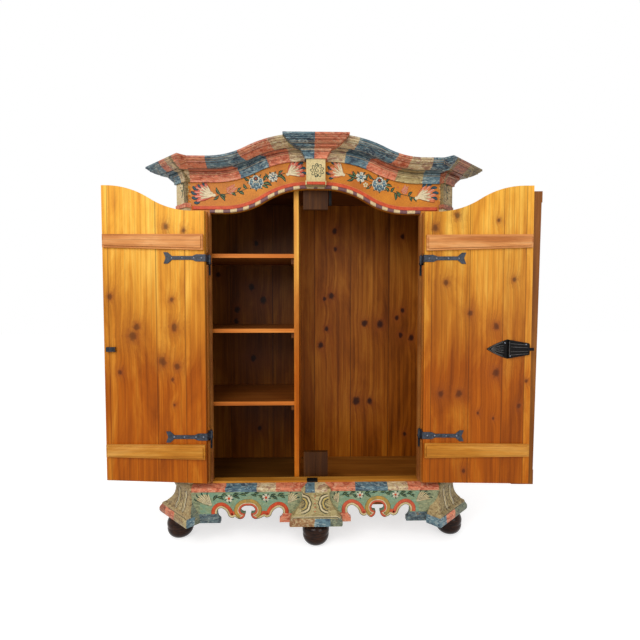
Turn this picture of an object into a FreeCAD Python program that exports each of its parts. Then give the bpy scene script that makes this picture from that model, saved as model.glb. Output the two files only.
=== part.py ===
import FreeCAD, Part
import math
import os
import Sketcher

# A two-door painted cupboard with canted corners, an arched frieze and cornice,
# a fretted plinth on turned feet, three shelves on the left and a hanging bay on the right.
# Millimetres. X runs to the right, Y to the back, Z up.
# Y = 0 is the front plane of the case, and Z = 0 is the floor.

os.makedirs("parts", exist_ok=True)
doc = FreeCAD.newDocument("PaintedCupboard")

# Driving dimensions, one named value each.
DRIVING = {
    # case
    "opening_half": 520,
    "stile_width": 94,
    "board": 30,
    "side_board": 22,
    "back_board": 16,
    "back_y": 520,
    "case_low": 236,
    "floor_board": 20,
    "ledge_top": 322,
    "ledge_deep": 46,
    "top_up": 149,
    "top_board": 20,
    "case_up": 227,
    "plank_gap": 0.3,
    "plank_up": 186,
    # canted corners
    "cant_run": 65,
    "cant_step": 17.4,
    "pilaster_inset": 5,
    "pilaster_thick": 19,
    "pilaster_foot": 34,
    "pilaster_head": 26,
    "pilaster_trim": 4,
    "frieze_block_up": 24,
    "frieze_foot": 18,
    "frieze_foot_out": 4,
    # arched head of the opening
    "arch_low": 1666,
    "arch_rise": 121,
    "arch_flat": 65,
    "arch_end": 40,
    "bead_high": 16,
    "bead_deep": 9,
    "bead_round": 4,
    # cornice
    "frieze_high": 147,
    "cornice_high": 88,
    "crown_less": 17,
    "cornice_flat": 15,
    "cornice_end": 70,
    "cornice_out": 136,
    "corner_out": 108,
    "key_half": 46,
    "key_out": 50,
    "key_corner_out": 108,
    "key_above": 6,
    "key_foot": 20,
    "key_foot_out": 4,
    "cornice_back": 5,
    # inside
    "divider_x": -98,
    "divider_thick": 24,
    "shelf_front": 54,
    "shelf_thick": 20,
    "shelf_top_1": 1472,
    "shelf_top_2": 1091,
    "shelf_top_3": 715,
    "cleat_wide": 15,
    "cleat_high": 30,
    "cleat_set_back": 8,
    "cleat_back_gap": 17,
    "stop_half": 62,
    "stop_thick": 25,
    "stop_drop": 95,
    "stop_rise": 130,
    "stop_groove": 6,
    "catch_wide": 14,
    "catch_high": 46,
    "catch_thick": 5,
    "catch_drop": 75,
    "catch_gap": 4,
    "ledge_plate_half": 27,
    "ledge_plate_x": -18,
    "ledge_plate_thick": 2,
    "ledge_plate_deep": 30,
    "ledge_plate_drop": 8,
    # plinth
    "plinth_low": 126,
    "plinth_out": 40,
    "skirt_thick": 26,
    "skirt_top": 282,
    "plinth_top": 312,
    "plinth_nose": 7,
    "fret_left_off": 32,
    "fret_left_arch": 37.5,
    "fret_left_high": 86,
    "fret_left_near_leaf": 81,
    "fret_left_near_end": 174,
    "fret_left_far_leaf": 66,
    "fret_left_far_end": 153,
    "fret_right_off": 4,
    "fret_right_arch": 32,
    "fret_right_high": 96,
    "fret_right_near_leaf": 55,
    "fret_right_near_end": 153,
    "fret_right_far_leaf": 66,
    "fret_right_far_end": 162,
    "side_fret_back": 190,
    "bearer_low": 200,
    "block_top_half": 66,
    "block_low_half": 110,
    "block_top_out": 18,
    "block_low_out": 40,
    "block_base_top": 182,
    "block_base_half": 131,
    "block_base_out": 50,
    "corner_top_half": 70,
    "corner_low_half": 124,
    "corner_top_out": 12,
    "corner_low_out": 36,
    "corner_base_half": 146,
    "corner_base_out": 57,
    "corner_left_tip": 22,
    "corner_left_nose": 46,
    "corner_right_nose": 9,
    "foot_radius": 66,
    "foot_waist": 38,
    "foot_sole": 30,
    "foot_bun": 116,
    "corner_foot_out": 32,
    "corner_foot_y": 90,
    "rear_foot_in": 39,
    "rear_foot_front": 50,
    "foot_block_half": 62,
    "foot_block_inside": 60,
    # doors, drawn closed
    "leaf_gap": 8,
    "leaf_low": 336,
    "leaf_thick": 25,
    "face_thick": 20,
    "face_lip": 6,
    "face_drop": 10,
    "head_gap": 3,
    "left_leaf_lift": 5,
    "left_leaf_slope": 16,
    "left_face_slope": 14,
    "left_leaf_corner": 12,
    "left_leaf_free": -20,
    "left_face_free": -7.5,
    "right_free": -4.5,
    "left_open_angle": 182,
    "right_open_angle": 177,
    "panel_side": 62,
    "panel_meet": 96,
    "panel_low": 70,
    "panel_mid_low": 1010,
    "panel_mid_high": 1110,
    "panel_head": 88,
    "panel_recess": 9,
    "panel_margin": 26,
    "panel_thick": 3,
    "panel_field": 4,
    "batten_thick": 14,
    "batten_field": 7,
    "batten_margin": 9,
    "batten_end_gap": 6,
    "upper_batten_down": 190,
    "upper_batten_high": 75,
    "lower_batten_low": 463,
    "lower_batten_high": 72,
    "batten_taper": 13,
    "pilaster_left_edge": -62,
    "pilaster_narrowing": 17,
    "pilaster_right_edge": 58,
    "door_pilaster_thick": 16,
    "door_pilaster_round": 12,
    "door_pilaster_relief": 0.8,
    "door_pilaster_drop": 12,
    "door_pilaster_base": 74,
    "door_pilaster_cap": 54,
    "door_pilaster_trim": 3,
    # hinges
    "pivot_out": 1,
    "pivot_y": -24,
    "pin_radius": 4,
    "pin_play": 0.05,
    "knuckle_radius": 8,
    "knuckle_high": 34,
    "strap_thick": 4,
    "strap_edge_gap": 0.3,
    "strap_reach": 197,
    "strap_high": 18,
    "strap_root": 34,
    "strap_root_long": 41,
    "fork_high": 54,
    "fork_long": 20,
    "upper_hinge_down": 227,
    "lower_hinge_z": 572,
    "hinge_notch": 11,
    "notch_play": 5,
    "collar_high": 9,
    "pintle_plate_thick": 4,
    "pintle_plate_wide": 30,
    "pintle_plate_high": 62,
    "pintle_arm_wide": 10,
    "pin_above": 5,
    # lock
    "lock_z": 1000,
    "lock_tip": 211,
    "lock_leaf_end": 110,
    "lock_tail": 5,
    "lock_leaf_half": 47,
    "lock_tail_half": 28,
    "lock_plate_thick": 2.5,
    "lock_cover_thick": 12,
    "lock_cover_margin": 3,
    "bolt_half": 7,
    "bolt_thick": 8,
    "bolt_play": 0.5,
    "bolt_tip": -14,
    "bolt_tail": 50,
    "bolt_throw": 30,
    "bolt_draw": 10,
    "keeper_near": -34,
    "keeper_far": -78,
    "keeper_wall": 3,
    "keyhole_x": 84,
    "keyhole_half": 19,
    "keyhole_high": 62,
    "keyhole_thick": 2,
    "keyhole_slot": 3,
    "keyhole_slot_high": 12,
    # one overrun for every cut
    "overrun": 5,
}

sheet = doc.addObject("Spreadsheet::Sheet", "Sizes")
for row, (alias, number) in enumerate(DRIVING.items(), 1):
    sheet.set("A%d" % row, alias)
    sheet.set("B%d" % row, str(number))
    sheet.setAlias("B%d" % row, alias)
doc.recompute()


class Size:
    """A length that carries its value and the sheet expression that gives it."""

    def __init__(self, value, text):
        self.value = value
        self.text = text

    def __add__(self, other):
        other = as_size(other)
        return Size(self.value + other.value, "(%s + %s)" % (self.text, other.text))

    def __radd__(self, other):
        return as_size(other) + self

    def __sub__(self, other):
        other = as_size(other)
        return Size(self.value - other.value, "(%s - %s)" % (self.text, other.text))

    def __rsub__(self, other):
        return as_size(other) - self

    def __neg__(self):
        return Size(-self.value, "(0 - %s)" % self.text)

    def __mul__(self, share):
        return Size(self.value * share, "(%s * %r)" % (self.text, share))

    __rmul__ = __mul__

    def __truediv__(self, share):
        return Size(self.value / share, "(%s / %r)" % (self.text, share))


def as_size(thing):
    """A plain number becomes a size of its own."""
    if isinstance(thing, Size):
        return thing
    return Size(float(thing), repr(float(thing)))


def plain(thing):
    """The value of a size, or the number itself."""
    return thing.value if isinstance(thing, Size) else float(thing)


class Sizes:
    """Every sheet cell as a bound size."""


class Numbers:
    """Every sheet cell as a number."""


s = Sizes()
mm = Numbers()
for alias in DRIVING:
    number = float(sheet.get(alias))
    setattr(s, alias, Size(number, "Sizes." + alias))
    setattr(mm, alias, number)


def derive(name, size):
    """A size that follows from the driving ones, bound and as a number."""
    setattr(s, name, size)
    setattr(mm, name, size.value)


# The head of the opening and all that stands above it
derive("arch_crown", s.arch_low + s.arch_rise)
derive("arch_start", s.opening_half - s.arch_flat)
derive("frieze_block_low", s.arch_low + s.frieze_block_up)
derive("cornice_low", s.arch_low + s.frieze_high)
derive("cornice_rise", s.arch_rise - s.crown_less)
derive("cornice_start", s.opening_half - s.cornice_flat)
derive("key_low", s.arch_crown + s.key_above)
derive("catch_low", s.arch_crown - s.catch_drop)
derive("top_low", s.arch_low + s.top_up)
derive("plank_top", s.arch_low + s.plank_up)
derive("case_top", s.arch_low + s.case_up)
# The doors and their hinges
derive("leaf_edge", s.opening_half - s.leaf_gap)
derive("pivot_x", s.opening_half + s.pivot_out)
derive("upper_hinge_z", s.arch_low - s.upper_hinge_down)
derive("upper_batten_low", s.arch_low - s.upper_batten_down)
# The plinth and its feet
derive("case_half", s.opening_half + s.stile_width + s.cant_run)
derive("fret_left_centre", (s.opening_half + s.stile_width) / 2 + s.fret_left_off)
derive("fret_right_centre", (s.opening_half + s.stile_width) / 2 + s.fret_right_off)
derive("side_fret_centre", s.back_y - s.side_fret_back)
derive("corner_foot_x", s.case_half + s.corner_foot_out)
derive("rear_foot_x", s.case_half - s.rear_foot_in)
derive("rear_foot_y", s.back_y - s.rear_foot_front)

Vector = FreeCAD.Vector
UP = Vector(0, 0, 1)
SIDES = (("left", -1), ("right", 1))
subparts = []
volume_checks = []


# Helpers

def keep(label, item):
    """Name a finished sub-part and list it for export."""
    item.Label = label
    subparts.append(item)
    return item


def origin_plane(body, role):
    """The named origin plane of a body."""
    for feature in body.Origin.OriginFeatures:
        if feature.Role == role:
            return feature
    raise RuntimeError("no plane " + role)


def board(label, x_low, x_high, y_low, y_high, z_low, z_high, kept=True):
    """A straight board between six planes, every one bound to the sheet."""
    item = doc.addObject("Part::Box", "Board_" + label)
    item.setExpression("Length", (as_size(x_high) - x_low).text)
    item.setExpression("Width", (as_size(y_high) - y_low).text)
    item.setExpression("Height", (as_size(z_high) - z_low).text)
    item.setExpression("Placement.Base.x", as_size(x_low).text)
    item.setExpression("Placement.Base.y", as_size(y_low).text)
    item.setExpression("Placement.Base.z", as_size(z_low).text)
    if kept:
        keep(label, item)
    return item


def draw(sketch, outline):
    """Close an outline in a sketch: a point is a line's end, and a pair of points is an arc."""
    arcs = any(isinstance(step[0], tuple) for step in outline)
    ends = [step[1] if isinstance(step[0], tuple) else step for step in outline]
    first = sketch.GeometryCount
    for index, step in enumerate(outline):
        start = ends[index - 1]
        here = Vector(plain(start[0]), plain(start[1]), 0)
        there = Vector(plain(ends[index][0]), plain(ends[index][1]), 0)
        if isinstance(step[0], tuple):
            middle = Vector(plain(step[0][0]), plain(step[0][1]), 0)
            sketch.addGeometry(Part.Arc(here, middle, there))
        else:
            sketch.addGeometry(Part.LineSegment(here, there))
    if arcs:
        return
    count = len(outline)
    for index in range(count):
        sketch.addConstraint(Sketcher.Constraint(
            "Coincident", first + index, 2, first + (index + 1) % count, 1))
    for index, point in enumerate(ends):
        for kind, part in (("DistanceX", as_size(point[0])), ("DistanceY", as_size(point[1]))):
            number = sketch.addConstraint(Sketcher.Constraint(
                kind, -1, 1, first + index, 2, part.value))
            sketch.setExpression("Constraints[%d]" % number, part.text)


def sketch_on(body, role, offset, outline):
    """A sketch on an origin plane of its body, moved along the plane's normal."""
    sketch = body.newObject("Sketcher::SketchObject", "Sketch")
    sketch.AttachmentSupport = [(origin_plane(body, role), "")]
    sketch.MapMode = "FlatFace"
    sketch.setExpression("AttachmentOffset.Base.z", as_size(offset).text)
    draw(sketch, outline)
    return sketch


def pad(body, role, offset, length, outline, taper=0):
    """Pad an outline; the front plane's normal points to the viewer."""
    feature = body.newObject("PartDesign::Pad", "Pad")
    feature.Profile = sketch_on(body, role, offset, outline)
    feature.setExpression("Length", as_size(length).text)
    feature.TaperAngle = taper
    doc.recompute()
    return feature


def pocket(body, role, offset, length, outline):
    """Pocket an outline against the plane's normal and note that it removed something."""
    before = body.Shape.Volume
    feature = body.newObject("PartDesign::Pocket", "Pocket")
    feature.Profile = sketch_on(body, role, offset, outline)
    feature.setExpression("Length", as_size(length).text)
    doc.recompute()
    volume_checks.append((body.Name, before, body.Shape.Volume))
    return feature


def new_body(label):
    """An empty body for one sub-part."""
    return doc.addObject("PartDesign::Body", "Body_" + label)


def front_piece(label, outline, back, thickness):
    """A piece cut to an outline seen from the front, from its back plane forward."""
    body = new_body(label)
    pad(body, "XZ_Plane", -as_size(back), thickness, outline)
    return body


def plan_piece(label, outline, low, height):
    """A piece cut to an outline seen from above."""
    body = new_body(label)
    pad(body, "XY_Plane", low, height, outline)
    return body


def feature(label, shape, kept=True):
    """A shape that neither a body nor a primitive fits."""
    item = doc.addObject("Part::Feature", "Shape_" + label)
    item.Shape = shape
    if kept:
        keep(label, item)
    return item


def group(label, items):
    """Like pieces that share one sub-part as separate solids."""
    together = doc.addObject("Part::Compound", "Group_" + label)
    together.Links = items
    return keep(label, together)


def fitted(label, base, tools):
    """A base piece scribed round the pieces that it meets."""
    for index, tool in enumerate(tools):
        cut = doc.addObject("Part::Cut", "Fit_%s_%d" % (label, index))
        cut.Base = base
        cut.Tool = tool
        base = cut
    doc.recompute()
    return keep(label, base)


def rectangle(x_low, x_high, y_low, y_high):
    """Four corners, in order."""
    return [(x_low, y_low), (x_high, y_low), (x_high, y_high), (x_low, y_high)]


def mirrored(outline, side):
    """An outline for the left or the right side, from one drawn for the right."""
    def flip(point):
        return (point[0] * side, point[1])
    return [tuple(flip(p) for p in step) if isinstance(step[0], tuple) else flip(step)
            for step in outline]


def swell(start, end):
    """Two equal tangent arcs between level ends, as outline steps."""
    run = (end[0] - start[0]) / 2
    rise = (end[1] - start[1]) / 2
    radius = (run * run + rise * rise) / (2 * abs(rise))
    half = math.atan(abs(rise / run))
    across = math.copysign(radius * math.sin(half), run)
    up = math.copysign(radius * (1 - math.cos(half)), rise)
    inflection = (start[0] + run, start[1] + rise)
    return [((start[0] + across, start[1] + up), inflection),
            ((end[0] - across, end[1] - up), end)]


def wire_from(points):
    """A closed wire through points."""
    return Part.makePolygon(list(points) + [points[0]])


# Curved line of the opening's head, shared by the frieze, its bead and the doors

def arch_line(x_from, x_to, drop):
    """Outline steps along the head of the opening from one place to another, lowered by a drop."""
    low = mm.arch_low - drop
    crown = mm.arch_crown - drop
    left = [(-mm.arch_start, low)] + swell((-mm.arch_start, low), (-mm.arch_end, crown))
    right = [(mm.arch_end, crown)] + swell((mm.arch_end, crown), (mm.arch_start, low))
    steps = []
    if x_from < -mm.arch_start:
        steps = steps + left
    if x_to > mm.arch_start:
        steps = steps + right
    height_end = crown if abs(x_to) < mm.arch_end else low
    return steps + [(x_to, height_end)]


# Corner geometry, drawn for the right side: the front root, the two corners of the cant
# and the side root
front_root = (s.opening_half + s.stile_width, as_size(0))
cant_front = (front_root[0] + s.cant_step, -s.cant_step)
cant_side = (cant_front[0] + s.cant_run, cant_front[1] + s.cant_run)
side_root = (front_root[0] + s.cant_run, s.cant_run)
case_half = s.case_half


# Case

for name, side in SIDES:
    # The canted post behind the pilaster, with the flat stile that frames the opening
    post = plan_piece("front_post_" + name, mirrored([
        front_root, side_root, (case_half - s.side_board, s.cant_run),
        (front_root[0], s.board)], side), s.case_low, s.case_top - s.case_low)
    pad(post, "XY_Plane", s.case_low, s.arch_low - s.case_low, mirrored([
        (s.opening_half, 0), front_root, (front_root[0], s.board),
        (s.opening_half, s.board)], side))
    keep("front_post_" + name, post)
    edges = sorted((side * case_half, side * (case_half - s.side_board)), key=plain)
    board("side_panel_" + name, edges[0], edges[1], s.cant_run, s.back_y + s.back_board,
          s.case_low, s.case_top)

board("front_rail", -s.opening_half, s.opening_half, 0, s.ledge_deep, s.case_low, s.ledge_top)
inner_half = case_half - s.side_board


def inside_plan(front):
    """The plan of the inside, behind the front boards and the canted posts."""
    return [(-inner_half, s.cant_run), (-front_root[0], front), (front_root[0], front),
            (inner_half, s.cant_run), (inner_half, s.back_y), (-inner_half, s.back_y)]


keep("floor_board", plan_piece("floor_board", inside_plan(s.ledge_deep), s.case_low,
                               s.floor_board))
keep("top_board", plan_piece("top_board", inside_plan(s.board), s.top_low, s.top_board))

# Back planks of uneven widths; the joints are shares of the inside half width.
plank_joint_shares = (-1.0, -0.785, -0.393, 0.0, 0.342, 0.7, 1.0)
planks = []
for number in range(len(plank_joint_shares) - 1):
    planks.append(board("plank_%d" % (number + 1),
                        inner_half * plank_joint_shares[number] + s.plank_gap / 2,
                        inner_half * plank_joint_shares[number + 1] - s.plank_gap / 2,
                        s.back_y, s.back_y + s.back_board, s.case_low, s.plank_top, False))
group("back_planks", planks)

# Frieze board: its lower edge is the head of the opening and its upper edge follows the cornice.
frieze_half = plain(front_root[0])
cover = mm.cornice_high - mm.cornice_back
crest_low = mm.cornice_low + cover
crest_top = crest_low + mm.cornice_rise
frieze_outline = arch_line(-frieze_half, frieze_half, 0)
frieze_outline = frieze_outline + [(frieze_half, crest_low), (mm.cornice_start, crest_low)]
frieze_outline = frieze_outline + swell((mm.cornice_start, crest_low), (mm.cornice_end, crest_top))
frieze_outline = frieze_outline + [(-mm.cornice_end, crest_top)]
frieze_outline = frieze_outline + swell((-mm.cornice_end, crest_top), (-mm.cornice_start, crest_low))
frieze_outline = frieze_outline + [(-frieze_half, crest_low), (-frieze_half, mm.arch_low)]
frieze = front_piece("frieze_board", frieze_outline, s.board, s.board)
keep("frieze_board", frieze)


def arched_bar(section, x_start, low, rise, start, end):
    """A section swept from the left over two tangent arcs to the middle of the cupboard."""
    run = (start - end) / 2
    radius = (run * run + rise * rise / 4) / rise
    turn = 2 * math.degrees(math.atan(rise / 2 / run))
    face = Part.Face(wire_from([Vector(x_start, y, low + up) for y, up in section]))
    flat = face.extrude(Vector(-start - x_start, 0, 0))
    face.translate(Vector(-start - x_start, 0, 0))
    first_centre = Vector(-start, 0, low + radius)
    bottom = face.revolve(first_centre, Vector(0, -1, 0), turn)
    face.rotate(first_centre, Vector(0, -1, 0), turn)
    second_centre = Vector(-end, 0, low + rise - radius)
    top = face.revolve(second_centre, Vector(0, 1, 0), turn)
    face.rotate(second_centre, Vector(0, 1, 0), turn)
    crown = face.extrude(Vector(end, 0, 0))
    return flat.multiFuse([bottom, top, crown]).removeSplitter()


# Bead round the head of the opening
bead_section = [(0, 0), (-mm.bead_deep + mm.bead_round, 0), (-mm.bead_deep, mm.bead_round),
                (-mm.bead_deep, mm.bead_high - mm.bead_round),
                (-mm.bead_deep + mm.bead_round, mm.bead_high), (0, mm.bead_high)]
bead_left = arched_bar(bead_section, -mm.opening_half, mm.arch_low,
                       mm.arch_crown - mm.arch_low, mm.arch_start, mm.arch_end)
bead_right = bead_left.mirror(Vector(0, 0, 0), Vector(1, 0, 0))
arch_bead = feature("arch_bead", bead_left.fuse(bead_right).removeSplitter())


# Cornice: the section is a list of outward shares and heights as shares of the cornice.
cornice_section_shares = (
    (0.0, 0.0), (0.075, 0.0), (0.075, 0.1), (0.1, 0.17), (0.16, 0.26), (0.165, 0.32),
    (0.205, 0.34), (0.25, 0.4), (0.255, 0.47), (0.23, 0.5), (0.52, 0.5), (0.52, 0.54),
    (0.6, 0.56), (0.7, 0.62), (0.8, 0.7), (0.86, 0.73), (0.86, 0.78), (0.91, 0.81),
    (0.96, 0.88), (1.0, 0.9), (1.0, 1.0), (0.0, 1.0))


def cornice_loft(stations, low):
    """A mitred cornice: each station is a plan point and the outward run of the full section."""
    wires = []
    for point, out in stations:
        wires.append(wire_from([
            Vector(point[0] + share * out[0], point[1] + share * out[1],
                   low + up * mm.cornice_high) for share, up in cornice_section_shares]))
    return Part.makeLoft(wires, True, True)


root = (plain(front_root[0]), 0.0)
front_point = (plain(cant_front[0]), plain(cant_front[1]))
side_point = (plain(cant_side[0]), plain(cant_side[1]))
side_end = (plain(side_root[0]), plain(side_root[1]))
diagonal = math.sqrt(2)
octagon = math.tan(math.radians(45 / 2))
apex_y = front_point[1] - diagonal * mm.corner_out
meeting = (front_point[0] - (apex_y + mm.cornice_out) * -1, -mm.cornice_out)
main_mitre = (meeting[0] - root[0], -mm.cornice_out)
key_mitre = (mm.key_corner_out, -mm.cornice_out)

section = [(-share * mm.cornice_out, up * mm.cornice_high) for share, up in cornice_section_shares]
sweep_left = arched_bar(section, -root[0] - mm.corner_out, mm.cornice_low, mm.cornice_rise,
                        mm.cornice_start, mm.cornice_end)
# Ground that the left front cornice covers, between its two mitres
reach = 1 + mm.overrun / mm.cornice_out
ground = [(-root[0], 0), (-root[0] - main_mitre[0] * reach, main_mitre[1] * reach),
          (-mm.key_half - key_mitre[0] * reach, key_mitre[1] * reach), (-mm.key_half, 0)]
ground_prism = Part.Face(wire_from([Vector(x, y, mm.case_low) for x, y in ground])).extrude(
    UP * (mm.cornice_low + mm.cornice_rise + mm.cornice_high + mm.overrun - mm.case_low))
cornice_left = sweep_left.common(ground_prism)
feature("cornice_front_left", cornice_left)
feature("cornice_front_right", cornice_left.mirror(Vector(0, 0, 0), Vector(1, 0, 0)))

key_front = -mm.key_out
feature("cornice_keystone", cornice_loft([
    ((-mm.key_half, 0), (-key_mitre[0], key_mitre[1])),
    ((-mm.key_half, key_front), (-mm.key_corner_out, -mm.key_corner_out)),
    ((mm.key_half, key_front), (mm.key_corner_out, -mm.key_corner_out)),
    ((mm.key_half, 0), key_mitre)], mm.cornice_low + mm.cornice_rise))

for name, side in SIDES:
    corner = cornice_loft([
        ((side * root[0], root[1]), (side * main_mitre[0], main_mitre[1])),
        ((side * front_point[0], front_point[1]), (0, -diagonal * mm.corner_out)),
        ((side * side_point[0], side_point[1]), (side * diagonal * mm.corner_out, 0)),
        ((side * side_end[0], side_end[1]),
         (side * mm.corner_out, octagon * mm.corner_out)),
        ((side * side_end[0], mm.back_y + mm.back_board), (side * mm.corner_out, 0))],
        mm.cornice_low)
    feature("cornice_corner_" + name, corner)

# Frieze blocks above the corner pilasters, with a projecting foot
for name, side in SIDES:
    outline = mirrored([front_root, cant_front, cant_side, side_root], side)
    block = plan_piece("frieze_block_" + name, outline, s.frieze_block_low,
                       s.case_top - s.frieze_block_low)
    out = s.frieze_foot_out
    foot = mirrored([
        (front_root[0] - out * octagon, -out), (cant_front[0], cant_front[1] - out * diagonal),
        (cant_side[0] + out * diagonal, cant_side[1]),
        (side_root[0] + out, side_root[1] + out * octagon), side_root, front_root], side)
    pad(block, "XY_Plane", s.frieze_block_low, s.frieze_foot, foot)
    keep("frieze_block_" + name, block)

# Keystone block on the frieze, with its foot
keystone = plan_piece("raw_keystone", rectangle(-s.key_half, s.key_half, -s.key_out, 0),
                      s.key_low, s.cornice_low + s.cornice_rise + s.cornice_high
                      - s.cornice_back - s.key_low)
key_wide = s.key_half + s.key_foot_out
pad(keystone, "XY_Plane", s.key_low, s.key_foot,
    rectangle(-key_wide, key_wide, -s.key_out - s.key_foot_out, 0))
fitted("keystone_block", keystone, [arch_bead])

# Pilasters on the cant, each with a foot and a head: drawn flat, then turned onto the corner
cant_face = mm.cant_run * diagonal


def turn_to_corner(side):
    """The placement that lays a piece, drawn with its back on the front plane, on a cant."""
    middle = Vector(side * (root[0] + side_end[0]) / 2, (root[1] + side_end[1]) / 2, 0)
    return FreeCAD.Placement(middle, FreeCAD.Rotation(UP, side * 45))


for name, side in SIDES:
    half = s.cant_run * (diagonal / 2) - s.pilaster_inset
    shaft = plan_piece("corner_pilaster_" + name,
                       rectangle(-half, half, -s.pilaster_thick, 0),
                       s.plinth_top, s.frieze_block_low - s.plinth_top)
    trim = s.pilaster_trim
    pad(shaft, "XY_Plane", s.plinth_top, s.pilaster_foot,
        rectangle(-half - trim, half + trim, -s.pilaster_thick - trim, 0))
    pad(shaft, "XY_Plane", s.frieze_block_low - s.pilaster_head, s.pilaster_head,
        rectangle(-half - trim, half + trim, -s.pilaster_thick - trim, 0))
    shaft.Placement = turn_to_corner(side)
    keep("corner_pilaster_" + name, shaft)


# Plinth

def stacked(sections, lean):
    """A block with flared sides: each section is a height, a half width, a back and a front.
    A lean is what its two ends gain where the block is widest, at low X and at high X."""
    wires = []
    for z, half, back, front in sections:
        share = lean_share(half)
        low = -half - lean[0] * share
        high = half + lean[1] * share
        wires.append(wire_from([Vector(low, back, z), Vector(high, back, z),
                                Vector(high, front, z), Vector(low, front, z)]))
    return Part.makeLoft(wires, True, True)


def lean_share(half):
    """How far a section has flared, from the top of a corner block to its widest."""
    return (half - mm.corner_top_half) / (mm.corner_base_half - mm.corner_top_half)


# Flare of a plinth block from its top down, as shares of the height and of the spread
flare_shares = ((0.0, 0.0), (0.2, 0.04), (0.38, 0.13), (0.55, 0.28), (0.7, 0.48),
                (0.84, 0.74), (1.0, 1.0))
# Base moulding of a block from its top down, as shares of height and of the spread
base_shares = ((0.0, 0.2), (0.12, 0.5), (0.3, 0.62), (0.45, 0.85), (0.6, 1.0), (0.85, 1.0),
               (1.0, 0.85))
# Nose of the plinth moulding from its bottom up, as shares of height and of the overhang
nose_shares = ((0.0, 0.0), (0.12, 0.6), (0.3, 0.6), (0.4, 1.0), (0.62, 1.0), (0.72, 0.4))


def block_sections(back, top_half, low_half, top_front, low_front):
    """The sections of a block's flared part, bottom first."""
    rows = []
    for down, spread in flare_shares:
        z = mm.skirt_top + (mm.block_base_top - mm.skirt_top) * down
        rows.append((z, top_half + (low_half - top_half) * spread, back,
                     top_front + (low_front - top_front) * spread))
    return rows[::-1]


def base_sections(back, low_half, base_half, low_front, base_front):
    """The sections of a block's base moulding, bottom first."""
    rows = []
    for down, spread in base_shares:
        z = mm.block_base_top + (mm.plinth_low - mm.block_base_top) * down
        rows.append((z, low_half + (base_half - low_half) * spread, back,
                     low_front + (base_front - low_front) * spread))
    return rows[::-1]


def cap_sections(back, half, front, rest_half, rest_front):
    """The moulding on top of a block: a nose that slopes back to the case."""
    rows = []
    for up, share in nose_shares:
        z = mm.skirt_top + (mm.plinth_top - mm.skirt_top) * up
        rows.append((z, half + mm.plinth_nose * share, back, front - mm.plinth_nose * share))
    rows.append((mm.plinth_top, rest_half, back, rest_front))
    return rows


centre_back = -mm.plinth_out
centre_top_front = centre_back - mm.block_top_out
centre_low_front = centre_back - mm.block_low_out
centre_base_front = centre_back - mm.block_base_out


def carved_block(backs, halves, fronts, lean):
    """One carved block: a moulded foot, a flared body and a cap that slopes back to the case."""
    low = stacked(base_sections(backs[0], halves[1], halves[2], fronts[1], fronts[2]), lean)
    body = stacked(block_sections(backs[0], halves[0], halves[1], fronts[0], fronts[1]), lean)
    cap = stacked(cap_sections(backs[1], halves[0], fronts[0], halves[3], fronts[3]), (0, 0))
    return body.multiFuse([low, cap]).removeSplitter()


centre_block = feature("plinth_block_centre", carved_block(
    (centre_back, 0),
    (mm.block_top_half, mm.block_low_half, mm.block_base_half, mm.key_half),
    (centre_top_front, centre_low_front, centre_base_front, -mm.plinth_nose), (0, 0)))

pilaster_out = mm.cant_step * diagonal
corner_top_front = -pilaster_out - mm.corner_top_out
corner_low_front = -pilaster_out - mm.corner_low_out
corner_base_front = -pilaster_out - mm.corner_base_out
corner_blocks = {}
for name, side in SIDES:
    block = feature("plinth_block_" + name, carved_block(
        (0, 0),
        (mm.corner_top_half, mm.corner_low_half, mm.corner_base_half, cant_face / 2),
        (corner_top_front, corner_low_front, corner_base_front, -pilaster_out),
        (mm.corner_left_tip, -mm.corner_left_nose) if side < 0 else (-mm.corner_right_nose, 0)))
    block.Placement = turn_to_corner(side)
    corner_blocks[name] = block

# One half of the fretted edge, from the middle of its arch outwards: a pair is an arc.
# The arch with its curled end: across are shares of the arch's half width, and up are shares
# of the fret's height.
arch_shares = (((0.72, 0.93), (1.0, 0.73)), ((0.86, 0.62), (0.38, 0.58)),
               ((0.47, 0.36), (1.05, 0.21)))
# The leaf beside it: across are shares of the way from the leaf's start to the fret's end.
leaf_shares = (((0.08, 0.31), (0.18, 0.30)), ((0.29, 0.35), (0.386, 0.474)),
               ((0.56, 0.78), (0.76, 0.89)), ((0.95, 0.80), (1.0, 0.58)),
               ((0.96, 0.38), (0.82, 0.22)), (0.82, 0.0))
leaf_start_share = 0.38
curl_share = 0.26


def fret_steps(name, centre, low, half):
    """Outline steps along one half of a fret, outwards from its middle."""
    flip = -1 if half == "near" else 1
    arch = getattr(mm, "fret_%s_arch" % name)
    high = getattr(mm, "fret_%s_high" % name)
    leaf = getattr(mm, "fret_%s_%s_leaf" % (name, half))
    end = getattr(mm, "fret_%s_%s_end" % (name, half))

    def point(across, up):
        return (centre + flip * across, low + up * high)

    def walk(step, across):
        if isinstance(step[0], tuple):
            return tuple(point(across(p[0]), p[1]) for p in step)
        return point(across(step[0]), step[1])

    steps = [walk(step, lambda share: share * arch) for step in arch_shares]
    bottom = arch_shares[-1][1][0] * arch
    steps.append((point((bottom + leaf) / 2, curl_share), point(leaf, leaf_start_share)))
    return steps + [walk(step, lambda share: leaf + share * (end - leaf))
                    for step in leaf_shares]


def backwards(start, steps):
    """The same outline walked the other way, ending at its start."""
    points = [start] + [step[1] if isinstance(step[0], tuple) else step for step in steps]
    walked = []
    for index in range(len(steps) - 1, -1, -1):
        if isinstance(steps[index][0], tuple):
            walked.append((steps[index][0], points[index]))
        else:
            walked.append(points[index])
    return walked


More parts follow.
